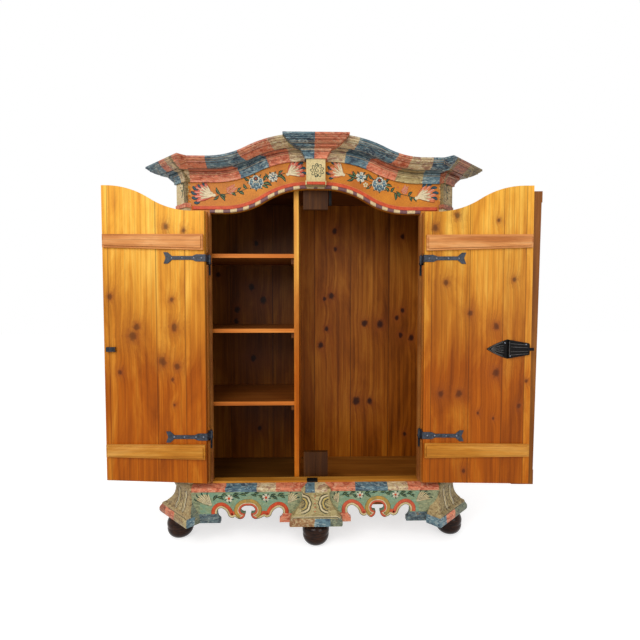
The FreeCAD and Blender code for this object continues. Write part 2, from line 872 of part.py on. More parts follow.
def fretted_outline(name, near, far, centre):
    """A skirt board's outline with one fret, between two ends, right side."""
    low = mm.plinth_low
    top = (centre, low + getattr(mm, "fret_%s_high" % name))
    inner = fret_steps(name, centre, low, "near")
    outer = fret_steps(name, centre, low, "far")
    outline = [inner[-1]] + backwards(top, inner) + outer
    return outline + [(far, low), (far, mm.skirt_top), (near, mm.skirt_top), (near, low)]


# Skirts and mouldings run on into the corner block and are cut where they meet it.
into_block = mm.cant_step / 3
front_far = root[0] + into_block
side_near = side_end[1] - into_block
length = mm.back_y + mm.back_board
for name, side in SIDES:
    skirt = front_piece("raw_skirt_" + name, mirrored(
        fretted_outline(name, 0, front_far, getattr(mm, "fret_%s_centre" % name)), side),
        s.skirt_thick - s.plinth_out, s.skirt_thick)
    fitted("front_skirt_" + name, skirt, [corner_blocks[name]])
    # The side skirt is drawn along X and turned to run along the side.
    flank = front_piece("raw_flank_" + name, fretted_outline(
        name, side_near, length, mm.side_fret_centre), 0, s.skirt_thick)
    outer = plain(case_half) + mm.plinth_out
    if side > 0:
        flank.Placement = FreeCAD.Placement(Vector(outer - mm.skirt_thick, 0, 0),
                                            FreeCAD.Rotation(UP, 90))
    else:
        flank.Placement = FreeCAD.Placement(Vector(-outer, 0, 0), FreeCAD.Rotation(UP, 90))
    fitted("side_skirt_" + name, flank, [corner_blocks[name]])

# Straight plinth moulding between the blocks and along the sides
nose_front = [(-mm.plinth_out - mm.plinth_nose * share,
               mm.skirt_top + (mm.plinth_top - mm.skirt_top) * up) for up, share in nose_shares]
nose_section = [(0, mm.skirt_top)] + nose_front + [(-mm.plinth_nose, mm.plinth_top),
                                                   (0, mm.plinth_top)]
for name, side in SIDES:
    face = Part.Face(wire_from([Vector(0, y, z) for y, z in nose_section]))
    straight = feature("raw_moulding_" + name, face.extrude(Vector(side * front_far, 0, 0)),
                       False)
    fitted("plinth_moulding_" + name, straight, [centre_block, corner_blocks[name]])
    face = Part.Face(wire_from([Vector(side * (plain(case_half) - y), side_near, z)
                                for y, z in nose_section]))
    flank = feature("raw_side_moulding_" + name,
                    face.extrude(Vector(0, length - side_near, 0)), False)
    fitted("side_moulding_" + name, flank, [corner_blocks[name]])

# Base frame under the case: bearers behind the skirts, and blocks that the feet are set in
skirt_gap = s.plinth_out - s.skirt_thick
bearer_back = s.cant_run + skirt_gap
frame_half = case_half + skirt_gap
frame_end = s.back_y + s.back_board
front_half = front_root[0] - skirt_gap
frame_parts = [
    board("bearer_front", -front_half, front_half, -skirt_gap, bearer_back,
          s.bearer_low, s.case_low, False),
    board("bearer_rear", -s.opening_half, s.opening_half,
          frame_end - s.foot_block_inside, frame_end, s.bearer_low, s.case_low, False),
    board("foot_block_centre", -s.foot_block_half, s.foot_block_half, -skirt_gap,
          s.foot_block_inside, s.plinth_low, s.bearer_low, False)]
for name, side in SIDES:
    edges = sorted((side * s.opening_half, side * frame_half), key=plain)
    frame_parts.append(board("bearer_" + name, edges[0], edges[1], bearer_back, frame_end,
                             s.bearer_low, s.case_low, False))
    middle = side * s.rear_foot_x
    half_wide = frame_half - s.rear_foot_x
    frame_parts.append(board("foot_block_" + name, middle - half_wide, middle + half_wide,
                             s.rear_foot_y - s.foot_block_half, frame_end,
                             s.plinth_low, s.bearer_low, False))
base_frame = doc.addObject("Part::MultiFuse", "BaseFrame")
base_frame.Shapes = frame_parts
base_frame.Refine = True
keep("base_frame", base_frame)

# Turned bun feet
# Profile of a foot as shares of its radius and of the bun's height
bun_shares = ((0.8, 0.06), (1.0, 0.5), (0.84, 0.9))


def turned_foot(label, x, y):
    """A bun with a flat sole and a short neck, revolved about its own axis."""
    body = new_body(label)
    outline = [(0, 0), (mm.foot_sole, 0),
               ((mm.foot_radius * bun_shares[0][0], mm.foot_bun * bun_shares[0][1] * 2),
                (mm.foot_radius, mm.foot_bun * bun_shares[1][1])),
               ((mm.foot_radius * bun_shares[2][0], mm.foot_bun * bun_shares[2][1]),
                (mm.foot_waist, mm.foot_bun)),
               (mm.foot_waist, mm.plinth_low), (0, mm.plinth_low)]
    profile = sketch_on(body, "XZ_Plane", 0, outline)
    turned = body.newObject("PartDesign::Revolution", "Turned")
    turned.Profile = profile
    turned.ReferenceAxis = (profile, ["V_Axis"])
    turned.Angle = 360
    body.setExpression("Placement.Base.x", as_size(x).text)
    body.setExpression("Placement.Base.y", as_size(y).text)
    keep(label, body)


turned_foot("foot_front_centre", 0, 0)
for name, side in SIDES:
    turned_foot("foot_front_" + name, side * s.corner_foot_x, s.corner_foot_y)
    turned_foot("foot_rear_" + name, side * s.rear_foot_x, s.rear_foot_y)


# Inside: divider, shelves and cleats, door stops and the iron catches

divider_left = s.divider_x - s.divider_thick / 2
divider_right = s.divider_x + s.divider_thick / 2
board("divider", divider_left, divider_right, s.shelf_front, s.back_y,
      s.case_low + s.floor_board, s.top_low)
shelf_tops = (s.shelf_top_1, s.shelf_top_2, s.shelf_top_3)
cleats = []
for number, top in enumerate(shelf_tops, 1):
    shelf = plan_piece("shelf_%d" % number, [
        (-inner_half, s.cant_run), (-front_root[0], s.shelf_front),
        (divider_left, s.shelf_front), (divider_left, s.back_y), (-inner_half, s.back_y)],
        top - s.shelf_thick, s.shelf_thick)
    keep("shelf_%d" % number, shelf)
    for name, low, high in (("left", -inner_half, s.cleat_wide - inner_half),
                            ("right", divider_left - s.cleat_wide, divider_left)):
        start = s.cant_run + s.cleat_set_back
        cleats.append(board(
            "cleat_%s_%d" % (name, number), low, high, start, s.back_y - s.cleat_back_gap,
            top - s.shelf_thick - s.cleat_high, top - s.shelf_thick, False))
group("shelf_cleats", cleats)

# Door stops behind the head and behind the front rail
stop_top = plan_piece("door_stop_top", rectangle(
    -s.stop_half, s.stop_half, s.board, s.board + s.stop_thick),
    s.arch_crown - s.stop_drop, s.top_low - s.arch_crown + s.stop_drop)
groove = s.stop_groove / 2
stop_low = plan_piece("door_stop_low", [
    (-s.stop_half, s.ledge_deep), (-groove, s.ledge_deep), (-groove, s.ledge_deep + groove),
    (groove, s.ledge_deep + groove), (groove, s.ledge_deep), (s.stop_half, s.ledge_deep),
    (s.stop_half, s.ledge_deep + s.stop_thick), (-s.stop_half, s.ledge_deep + s.stop_thick)],
    s.case_low + s.floor_board, s.ledge_top - s.case_low - s.floor_board + s.stop_rise)
group("door_stops", [stop_top, stop_low])

top_catch = board("top_catch", s.stop_half + s.catch_gap,
                  s.stop_half + s.catch_gap + s.catch_wide, s.board, s.board + s.catch_thick,
                  s.catch_low, s.catch_low + s.catch_high * 2, False)
plate_x = s.ledge_plate_x
keeper_plate = new_body("ledge_plate")
pad(keeper_plate, "YZ_Plane", plate_x - s.ledge_plate_half, s.ledge_plate_half * 2, [
    (-s.ledge_plate_thick, s.ledge_top - s.ledge_plate_drop), (0, s.ledge_top - s.ledge_plate_drop),
    (0, s.ledge_top), (s.ledge_plate_deep, s.ledge_top),
    (s.ledge_plate_deep, s.ledge_top + s.ledge_plate_thick),
    (-s.ledge_plate_thick, s.ledge_top + s.ledge_plate_thick)])
group("catch_plates", [top_catch, keeper_plate])


# Doors: every piece is drawn closed, then the whole leaf turns open about its pins

def door_placement(side):
    """The turn that opens a door from closed to the pose that it rests in."""
    angle = -mm.left_open_angle if side < 0 else mm.right_open_angle
    pivot = Vector(side * mm.pivot_x, mm.pivot_y, 0)
    turn = FreeCAD.Rotation(UP, angle)
    return FreeCAD.Placement(pivot - turn.multVec(pivot), turn)


def opened(item, side):
    """Turn a door piece open with its leaf."""
    item.Placement = door_placement(side).multiply(item.Placement)
    return item


def on_door(label, item, side):
    """Keep a door piece that has been turned open."""
    return keep(label, opened(item, side))


def leaf_outline(hinge_x, free_x, low, side, slope=0, corner=0):
    """A leaf's outline from its hinge edge to its free edge, under the head of the opening.
    The left leaf's lower edge rises by a slope to a rounded corner."""
    x_hinge = side * plain(hinge_x)
    x_free = plain(free_x)
    if side < 0:
        start = plain(low) + slope
        worn = [(x_free, start + corner)]
        if corner:
            near = corner * (1 - math.cos(math.radians(45)))
            worn = worn + [((x_free - near, start + near), (x_free - corner, start))]
        return worn + [(x_hinge, plain(low)), (x_hinge, mm.arch_low - mm.head_gap)] + arch_line(
            x_hinge, x_free, mm.head_gap)
    steps = arch_line(x_free, x_hinge, mm.head_gap)
    return [(x_hinge, plain(low)), (x_free, plain(low)),
            (x_free, mm.arch_crown - mm.head_gap)] + steps


def panel_outline(side, free_x, low, high, inset, arched):
    """A panel's outline, with a head that follows the arch when it is the upper one."""
    near = mm.leaf_edge - mm.panel_side - inset
    far = side * plain(free_x) + mm.panel_meet + inset
    low = low + inset
    high = high - inset
    if not arched:
        return mirrored([(far, low), (near, low), (near, high), (far, high)], side)
    rise = mm.arch_crown - mm.arch_low
    shoulder = high - rise
    steps = [(far, low), (near, low), (near, shoulder)]
    steps = steps + swell((near, shoulder), (far, high))
    return mirrored(steps, side)


for name, side in SIDES:
    free_leaf = s.left_leaf_free if side < 0 else s.right_free
    free_face = s.left_face_free if side < 0 else s.right_free
    face_edge = s.leaf_edge + s.face_lip
    lift = mm.left_leaf_lift if side < 0 else 0
    leaf = front_piece("leaf_" + name, leaf_outline(
        s.leaf_edge, free_leaf, s.leaf_low + lift, side, mm.left_leaf_slope, mm.left_leaf_corner),
        s.leaf_thick, s.leaf_thick)
    on_door("door_leaf_" + name, leaf, side)

    face = front_piece("face_" + name, leaf_outline(
        face_edge, free_face, s.leaf_low + lift - s.face_drop, side, mm.left_face_slope),
        0, s.face_thick)
    upper = (mm.panel_mid_high, mm.arch_crown - mm.panel_head, True)
    lower = (mm.leaf_low + mm.panel_low, mm.panel_mid_low, False)
    for low, high, arched in (upper, lower):
        pocket(face, "XZ_Plane", s.face_thick, s.panel_recess,
               panel_outline(side, free_face, low, high, 0, arched))
    for z in (s.upper_hinge_z, s.lower_hinge_z):
        notch_low = z - s.knuckle_high / 2 - s.collar_high - s.notch_play
        notch_high = z + s.knuckle_high / 2 + s.pin_above + s.notch_play
        edges = (side * (face_edge + s.overrun), side * (face_edge - s.hinge_notch))
        pocket(face, "XZ_Plane", s.face_thick, s.face_thick + s.overrun,
               rectangle(min(edges, key=plain), max(edges, key=plain), notch_low, notch_high))
    on_door("door_face_" + name, face, side)

    panels = []
    for kind, (low, high, arched) in (("upper", upper), ("lower", lower)):
        label = "%s_panel_%s" % (kind, name)
        panel = front_piece(label, panel_outline(side, free_face, low, high, 0, arched),
                            s.panel_recess - s.face_thick, s.panel_thick)
        pad(panel, "XZ_Plane", s.face_thick - s.panel_recess + s.panel_thick, s.panel_field,
            panel_outline(side, free_face, low, high, mm.panel_margin, arched))
        panels.append(opened(panel, side))
    group("door_panels_" + name, panels)

    # Tapered battens with a raised field
    battens = []
    for kind, low, high in (("upper", s.upper_batten_low, s.upper_batten_high),
                            ("lower", s.lower_batten_low, s.lower_batten_high)):
        label = "%s_batten_%s" % (kind, name)
        hinge_x = s.leaf_edge - s.batten_end_gap
        free_x = free_leaf * side + s.batten_end_gap
        gap = s.batten_margin
        batten = front_piece(label, mirrored([
            (hinge_x, low), (hinge_x, low + high), (free_x, low + high),
            (free_x, low + s.batten_taper)], side), s.leaf_thick + s.batten_thick, s.batten_thick)
        pad(batten, "XZ_Plane", -(s.leaf_thick + s.batten_thick + s.batten_field),
            s.batten_field, mirrored([
                (hinge_x - gap, low + gap), (hinge_x - gap, low + high - gap),
                (free_x + gap, low + high - gap), (free_x + gap, low + s.batten_taper + gap)],
                side))
        battens.append(opened(batten, side))
    group("door_battens_" + name, battens)

    # Cranked strap hinges: a forked strap on the inside, a bend round the edge and an eye
    straps = []
    for kind, z in (("upper", s.upper_hinge_z), ("lower", s.lower_hinge_z)):
        label = "%s_strap_%s" % (kind, name)
        strap = new_body(label)
        start = s.leaf_edge + s.strap_edge_gap + s.strap_thick
        root_end = s.leaf_edge - s.strap_root_long
        tip = s.leaf_edge - s.strap_reach
        pad(strap, "XZ_Plane", -(s.leaf_thick + s.strap_thick), s.strap_thick, mirrored([
            (start, z - s.strap_root / 2), (start, z + s.strap_root / 2),
            (root_end, z + s.strap_root / 2), (root_end - s.strap_high, z + s.strap_high / 2),
            (tip + s.fork_long * 2, z + s.strap_high / 2), (tip + s.fork_long, z + s.fork_high / 2),
            (tip, z + s.fork_high / 2), (tip + s.fork_long / 2, z),
            (tip, z - s.fork_high / 2), (tip + s.fork_long, z - s.fork_high / 2),
            (tip + s.fork_long * 2, z - s.strap_high / 2),
            (root_end - s.strap_high, z - s.strap_high / 2), (root_end, z - s.strap_root / 2)],
            side))
        inner = s.leaf_edge + s.strap_edge_gap
        pad(strap, "XY_Plane", z - s.strap_root / 2, s.strap_root, mirrored([
            (inner, s.pivot_y), (start, s.pivot_y), (start, s.leaf_thick + s.strap_thick),
            (inner, s.leaf_thick + s.strap_thick)], side))
        eye = strap.newObject("Sketcher::SketchObject", "Eye")
        eye.AttachmentSupport = [(origin_plane(strap, "XY_Plane"), "")]
        eye.MapMode = "FlatFace"
        eye.setExpression("AttachmentOffset.Base.z", (z - s.knuckle_high / 2).text)
        eye.addGeometry(Part.Circle(Vector(side * mm.pivot_x, mm.pivot_y, 0), UP,
                                    mm.knuckle_radius))
        ring = strap.newObject("PartDesign::Pad", "Ring")
        ring.Profile = eye
        ring.setExpression("Length", s.knuckle_high.text)
        doc.recompute()
        before = strap.Shape.Volume
        bore = strap.newObject("Sketcher::SketchObject", "Bore")
        bore.AttachmentSupport = [(origin_plane(strap, "XY_Plane"), "")]
        bore.MapMode = "FlatFace"
        bore.setExpression("AttachmentOffset.Base.z",
                           (z + s.knuckle_high / 2 + s.overrun).text)
        bore.addGeometry(Part.Circle(Vector(side * mm.pivot_x, mm.pivot_y, 0), UP,
                                     mm.pin_radius + mm.pin_play))
        hole = strap.newObject("PartDesign::Pocket", "Hole")
        hole.Profile = bore
        hole.setExpression("Length", (s.knuckle_high + s.overrun * 2).text)
        doc.recompute()
        volume_checks.append((strap.Name, before, strap.Shape.Volume))
        straps.append(opened(strap, side))
    group("door_straps_" + name, straps)

# Pintles on the stiles: a plate, an arm, a collar under the eye and the pin, four alike
pintles = []
for name, side in SIDES:
    for z in (mm.upper_hinge_z, mm.lower_hinge_z):
        axis = Vector(side * mm.pivot_x, mm.pivot_y, 0)
        low = z - mm.knuckle_high / 2 - mm.collar_high
        collar = Part.makeCylinder(mm.knuckle_radius, mm.collar_high, axis + UP * low)
        pin = Part.makeCylinder(mm.pin_radius, mm.collar_high + mm.knuckle_high + mm.pin_above,
                                axis + UP * low)
        arm = Part.makeBox(mm.pintle_arm_wide, -mm.pivot_y, mm.collar_high,
                           axis + Vector(-mm.pintle_arm_wide / 2, 0, low))
        plate_x_low = min(side * mm.opening_half,
                          side * (mm.opening_half + mm.pintle_plate_wide))
        plate = Part.makeBox(mm.pintle_plate_wide, mm.pintle_plate_thick, mm.pintle_plate_high,
                             Vector(plate_x_low, -mm.pintle_plate_thick,
                                    low + mm.collar_high - mm.pintle_plate_high))
        pintles.append(collar.multiFuse([pin, arm, plate]).removeSplitter())
feature("hinge_pintles", Part.makeCompound(pintles))

# Pilaster that covers the meeting of the doors, on the right one, with a base and a cap.
# Its left edge narrows toward the foot.
front = -(s.face_thick + s.door_pilaster_thick)
edge_right = s.pilaster_right_edge
rounding = s.door_pilaster_round
trim = s.door_pilaster_trim
pilaster_low = s.leaf_low - s.face_drop - s.door_pilaster_drop
pilaster_high = s.arch_crown - s.head_gap - s.bead_high
back_left = -s.face_thick - s.door_pilaster_relief


def shaft_plan(edge_left):
    """The plan of the pilaster's rounded shaft from its left edge to its right one."""
    return [(s.right_free, -s.face_thick), (s.right_free, back_left), (edge_left, back_left),
            (edge_left, front + rounding), (edge_left + rounding, front),
            (edge_right - rounding, front), (edge_right, front + rounding),
            (edge_right, -s.face_thick)]


cover = new_body("door_pilaster")
shaft = cover.newObject("PartDesign::AdditiveLoft", "Shaft")
shaft.Profile = sketch_on(cover, "XY_Plane", pilaster_low,
                          shaft_plan(s.pilaster_left_edge + s.pilaster_narrowing))
shaft.Sections = [sketch_on(cover, "XY_Plane", pilaster_high, shaft_plan(s.pilaster_left_edge))]
shaft.Ruled = True
doc.recompute()
for low, high, edge_left in (
        (pilaster_low, s.door_pilaster_base, s.pilaster_left_edge + s.pilaster_narrowing),
        (pilaster_high - s.door_pilaster_cap, s.door_pilaster_cap, s.pilaster_left_edge)):
    pad(cover, "XY_Plane", low, high, [
        (s.right_free, -s.face_thick), (s.right_free, back_left),
        (edge_left - trim, back_left), (edge_left - trim, front - trim),
        (edge_right + trim, front - trim), (edge_right + trim, -s.face_thick)])
on_door("door_pilaster", cover, 1)

# Lock on the inside of the right door: an engraved leaf-shaped plate, a cover and the bolt
plate_back = mm.leaf_thick + mm.lock_plate_thick
belly = (mm.lock_tip + mm.lock_leaf_end) / 2
lock_outline = [
    (mm.lock_tail, mm.lock_z - mm.lock_tail_half), (mm.lock_tail, mm.lock_z + mm.lock_tail_half),
    (mm.lock_leaf_end, mm.lock_z + mm.lock_leaf_half),
    ((belly, mm.lock_z + mm.lock_tail_half), (mm.lock_tip, mm.lock_z)),
    ((belly, mm.lock_z - mm.lock_tail_half), (mm.lock_leaf_end, mm.lock_z - mm.lock_leaf_half))]
lock_case = front_piece("lock_case", lock_outline, s.leaf_thick + s.lock_plate_thick,
                        s.lock_plate_thick)
cover_back = s.leaf_thick + s.lock_plate_thick + s.lock_cover_thick
inset = s.lock_cover_margin
pad(lock_case, "XZ_Plane", -cover_back, s.lock_cover_thick, [
    (s.lock_tail + inset, s.lock_z - s.lock_tail_half + inset),
    (s.lock_leaf_end - inset, s.lock_z - s.lock_leaf_half + inset),
    (s.lock_leaf_end - inset, s.lock_z + s.lock_leaf_half - inset),
    (s.lock_tail + inset, s.lock_z + s.lock_tail_half - inset)])
pocket(lock_case, "XZ_Plane", -(s.leaf_thick + s.lock_plate_thick),
       s.bolt_thick + s.bolt_play * 2, rectangle(
           s.lock_tail - s.overrun, s.bolt_tail + s.bolt_draw + s.overrun,
           s.lock_z - s.bolt_half - s.bolt_play, s.lock_z + s.bolt_half + s.bolt_play))
on_door("lock_case", lock_case, 1)
bolt = front_piece("lock_bolt", rectangle(
    s.bolt_tip, s.bolt_tail, s.lock_z - s.bolt_half, s.lock_z + s.bolt_half),
    s.leaf_thick + s.lock_plate_thick + s.bolt_thick + s.bolt_play, s.bolt_thick)
on_door("lock_bolt", bolt, 1)

# Keyhole plate on the outside of the right door
keyhole = front_piece("keyhole_plate", rectangle(
    s.keyhole_x - s.keyhole_half, s.keyhole_x + s.keyhole_half,
    s.lock_z - s.keyhole_high / 2, s.lock_z + s.keyhole_high / 2), -s.face_thick, s.keyhole_thick)
pocket(keyhole, "XZ_Plane", s.face_thick + s.keyhole_thick + s.overrun,
       s.keyhole_thick + s.overrun * 2, rectangle(
           s.keyhole_x - s.keyhole_slot, s.keyhole_x + s.keyhole_slot,
           s.lock_z - s.keyhole_slot_high, s.lock_z + s.keyhole_slot_high))
on_door("keyhole_plate", keyhole, 1)

# Keeper for the bolt on the inside of the left door
wall = s.keeper_wall
keeper_half = s.bolt_half + s.bolt_play * 2 + wall
keeper_deep = s.lock_plate_thick + s.bolt_thick + s.bolt_play * 2
keeper = front_piece("bolt_keeper", rectangle(
    s.keeper_far, s.keeper_near, s.lock_z - keeper_half, s.lock_z + keeper_half),
    s.leaf_thick + keeper_deep + wall, keeper_deep + wall)
pocket(keeper, "XZ_Plane", -s.leaf_thick + s.overrun, keeper_deep + s.overrun, rectangle(
    s.keeper_far - s.overrun, s.keeper_near + s.overrun,
    s.lock_z - keeper_half + wall, s.lock_z + keeper_half - wall))
on_door("bolt_keeper", keeper, -1)


# Checks and export

doc.recompute()
for item in doc.Objects:
    for word in ("Invalid", "Error"):
        if word in item.State:
            raise RuntimeError("%s is %s" % (item.Label, item.State))
for name, before, after in volume_checks:
    if after >= before:
        raise RuntimeError("a cut in %s removed nothing" % name)
for item in subparts:
    if item.Shape.isNull() or not item.Shape.isValid() or item.Shape.Volume <= 0:
        raise RuntimeError("bad shape in " + item.Label)
labels = [item.Label for item in subparts]
if len(set(labels)) != len(labels):
    raise RuntimeError("two sub-parts share a label")
for item in subparts:
    item.Shape.exportStep("parts/%s.step" % item.Label)
print(len(subparts), "sub-parts")
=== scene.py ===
import bpy
import bmesh
import math
import random
from mathutils import Matrix, Vector
from mathutils.bvhtree import BVHTree


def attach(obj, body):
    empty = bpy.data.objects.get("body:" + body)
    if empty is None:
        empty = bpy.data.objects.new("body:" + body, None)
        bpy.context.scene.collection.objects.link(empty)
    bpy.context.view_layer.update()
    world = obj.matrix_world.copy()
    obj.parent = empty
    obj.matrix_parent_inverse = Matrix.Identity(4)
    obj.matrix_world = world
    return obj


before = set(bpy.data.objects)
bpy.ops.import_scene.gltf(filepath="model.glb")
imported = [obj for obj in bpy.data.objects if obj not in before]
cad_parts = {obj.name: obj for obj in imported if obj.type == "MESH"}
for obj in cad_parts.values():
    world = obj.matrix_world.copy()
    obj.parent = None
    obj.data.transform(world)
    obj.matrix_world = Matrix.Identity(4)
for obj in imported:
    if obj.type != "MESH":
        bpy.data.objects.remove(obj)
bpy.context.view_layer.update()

# %% [markdown]
# A painted cupboard from the Alpine folk tradition stands with both doors open. The solid
# pieces come from the frame, and they already have the right shape, so this file gives them
# their wood, paint and iron, and lays the painter's brushwork on top of them.
# The brushwork could be an image, but an image blurs close up and has to be unwrapped.
# Here each stroke is a thin piece of its own, so it stays sharp and can be changed one by one.

# %% Units and colours
MM = 0.001


def paint(red, green, blue):
    """A colour picked on a screen, from 0 to 255, as the linear values that shaders read."""
    shares = [value / 255 for value in (red, green, blue)]
    return (*(share / 12.92 if share <= 0.04045 else ((share + 0.055) / 1.055) ** 2.4
              for share in shares), 1)


def shades(*colours):
    """Colours that belong together, each given as red, green and blue."""
    return tuple(paint(*colour) for colour in colours)


# palettes of the painted parts: a ground, its dark clouds and its pale veins
CORALS = shades((216, 128, 94), (170, 80, 54), (224, 170, 136))
BLUES = shades((96, 124, 134), (48, 64, 82), (168, 184, 180))
CREAMS = shades((204, 180, 136), (150, 104, 88), (226, 212, 176))
BUFFS = shades((176, 156, 106), (120, 92, 62), (206, 190, 140))
OLIVES = shades((134, 112, 70), (88, 70, 44), (160, 144, 98))
RUSTS = shades((158, 88, 62), (104, 62, 44), (190, 132, 98))
TEALS = shades((114, 144, 118), (130, 142, 104), (146, 164, 132))
DULLS = shades((140, 146, 112), (104, 112, 84), (168, 166, 124))
BLOCKS = shades((166, 142, 98), (116, 92, 60), (196, 178, 130))
DUNS = shades((142, 122, 80), (96, 78, 48), (172, 156, 110))
SLATES = shades((88, 104, 108), (50, 62, 70), (140, 150, 140))
GREENS = shades((112, 118, 98), (72, 80, 70), (150, 150, 118))
STONES = shades((164, 148, 100), (134, 114, 72), (192, 178, 132))
CLAYS = shades((160, 120, 80), (126, 84, 54), (190, 172, 130))
BUFF = paint(204, 184, 132)
CREAM, _, CREAM_PALE = CREAMS
OCHRE, OCHRE_DARK = shades((202, 126, 30), (174, 96, 22))
IVORIES = (CREAM, BUFF, CREAM_PALE)
OCHRES = (OCHRE, OCHRE_DARK, BUFF)
PLUM = paint(112, 76, 78)
# palettes of the bare wood: dark, middle and pale grain
HONEY = shades((208, 134, 36), (232, 164, 52), (244, 190, 80))
AMBER = shades((134, 62, 4), (168, 84, 8), (190, 106, 18))
TAN = shades((176, 104, 50), (206, 138, 78), (224, 166, 108))
YELLOW_TAN = shades((156, 92, 24), (186, 120, 38), (208, 148, 62))
SHADE = shades((100, 50, 12), (146, 82, 22), (180, 112, 38))
SHADE_LOW = shades((100, 46, 4), (150, 78, 10), (180, 106, 22))
EDGE = shades((196, 124, 50), (220, 156, 66), (238, 184, 84))
RED_EDGE = shades((160, 82, 26), (190, 106, 38), (210, 130, 56))
BROWN = shades((74, 38, 14), (98, 54, 20), (124, 74, 30))
FLOOR_TONE = shades((110, 64, 18), (138, 84, 26), (162, 106, 40))
# the door stops are coloured very dark as painted shade, where they sit under the top of the
# doorway and by its floor
STOP_SHADE_TONE = shades((42, 19, 3), (58, 29, 5), (78, 44, 12))
STRIP_TONE = shades((104, 56, 20), (130, 76, 26), (156, 98, 38))
print("colours ready")

# %% [markdown]
# A material is a small chain of nodes. One function adds a node with what goes into it, and a
# small class stands for what comes out, so that sums on it are written as sums.
# Values that are the same all over a surface are set on the shader itself.

# %% Helpers for materials


def put(tree, kind, settings=None, *feeds, **named):
    """A node with its settings and what goes into its sockets, in order or by name: plain
    values or what comes out of other nodes."""
    node = tree.nodes.new("ShaderNode" + kind)
    for name, value in (settings or {}).items():
        setattr(node, name, value)
    for key, value in (*enumerate(feeds), *named.items()):
        socket = node.inputs[key.replace("_", " ") if isinstance(key, str) else key]
        if isinstance(value, Flow):
            tree.links.new(value.socket, socket)
        else:
            socket.default_value = value
    return node


class Flow:
    """What comes out of a node: a number, a place or a colour."""

    def __init__(self, socket):
        self.socket, self.tree = socket, socket.id_data

    def step(self, kind, *others):
        """One step of arithmetic with numbers."""
        return Flow(put(self.tree, "Math", {"operation": kind}, self, *others).outputs[0])

    def leap(self, kind, *others):
        """One step of arithmetic with places."""
        node = put(self.tree, "VectorMath", {"operation": kind}, self, *others)
        return Flow(node.outputs["Value" if kind == "LENGTH" else "Vector"])

    def mapped(self, **changes):
        """A place turned, stretched or moved before a pattern reads it."""
        return Flow(put(self.tree, "Mapping", None, self, **changes).outputs[0])

    def split(self):
        """The three numbers of a place."""
        return [Flow(part) for part in put(self.tree, "SeparateXYZ", None, self).outputs]

    def __add__(self, other):
        return self.step("ADD", other)

    def __sub__(self, other):
        return self.step("SUBTRACT", other)

    def __mul__(self, other):
        return self.step("MULTIPLY", other)

    def __abs__(self):
        return self.step("ABSOLUTE")


def finish(name, roughness, gloss=0.22):
    """A new material, the place of a point on it, and the three numbers of that place."""
    made = bpy.data.materials.new(name)
    made.use_nodes = True
    shader = made.node_tree.nodes["Principled BSDF"]
    shader.inputs["Roughness"].default_value = roughness
    shader.inputs["Specular IOR Level"].default_value = gloss
    where = Flow(put(made.node_tree, "TexCoord").outputs["Object"])
    return made, where, *where.split()


def tint(value):
    """A plain number as a neutral colour, and a colour as it is."""
    return (value, value, value, 1) if isinstance(value, (int, float)) else value


def ramp(source, stops, sharp=False):
    """Colours or numbers over a value: each stop is a place from 0 to 1 and what stands there."""
    stops = [(at, tint(value)) for at, value in stops]
    if len(stops) == 1:
        return stops[0][1]
    node = put(source.tree, "ValToRGB", None, source)
    bar = node.color_ramp
    bar.interpolation = "CONSTANT" if sharp else "LINEAR"
    for element, (at, value) in zip(bar.elements, (stops[0], stops[-1])):
        element.position, element.color = at, value
    for at, value in stops[1:-1]:
        bar.elements.new(at).color = value
    return Flow(node.outputs["Color"])


def mix(share, first, second, blend="MIX"):
    """Two colours mixed; each part may be a colour, a number or what comes out of a node."""
    tree = next(part.tree for part in (share, first, second) if isinstance(part, Flow))
    node = put(tree, "Mix", {"data_type": "RGBA", "blend_type": blend}, share)
    for part, socket in ((tint(first), node.inputs[6]), (tint(second), node.inputs[7])):
        if isinstance(part, Flow):
            tree.links.new(part.socket, socket)
        else:
            socket.default_value = part
    return Flow(node.outputs[2])


def speckle(where, scale, detail=4.0, rough=0.55, bend=0.0):
    """Noise over a place, as a number."""
    return Flow(put(where.tree, "TexNoise", Vector=where, Scale=scale, Detail=detail,
                    Roughness=rough, Distortion=bend).outputs["Fac"])


def cover(**looks):
    """The last links into the shader, by the names of its sockets."""
    for name, look in looks.items():
        shader = look.tree.nodes["Principled BSDF"]
        look.tree.links.new(look.socket, shader.inputs[name.replace("_", " ")])


def relief(height, depth, strength=0.3):
    """Bump from a height, in metres of depth."""
    cover(Normal=Flow(put(height.tree, "Bump", Height=height, Distance=depth,
                          Strength=strength).outputs[0]))


dressed = []


def dress(material, *names):
    """Give CAD nodes their material."""
    for name in names:
        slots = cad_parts[name].data.materials
        slots.clear()
        slots.append(material)
    dressed.extend(names)


print("helpers for materials ready")

# %% [markdown]
# Bare pine shows long grain lines, broad warm and pale streaks, dark round knots and the
# joints between its boards. Grain could be a picture of wood, but noise stretched along the
# board gives the same lines at any distance. The place is first turned so that its first
# number runs across the boards and its second runs along them, whichever way a piece faces.

# %% Pine
TURNS = {
    "front": Matrix(((1, 0, 0), (0, 0, 1), (0, -1, 0))),
    "side": Matrix(((0, 1, 0), (0, 0, 1), (1, 0, 0))),
    "level": Matrix(((0, 1, 0), (1, 0, 0), (0, 0, -1))),
    "rail": Matrix(((0, 0, 1), (1, 0, 0), (0, 1, 0))),
}
GRAIN = (0.36, 0.5, 0.62)
SPAN = 2.4


def nearest_knot(flat, knots):
    """How far a place is from the nearest knot, in knot sizes, with a ragged rim."""
    near = 9.0
    for across, along, size in ([number * MM for number in knot] for knot in knots):
        gap = flat.leap("SUBTRACT", (across, along, 0))
        oval = gap.leap("MULTIPLY", (1 / size, 0.8 / size, 0))
        near = oval.leap("LENGTH").step("MINIMUM", near)
    return near * (speckle(flat, 55.0, 3.0, 0.6) * 1.3 + 0.35)


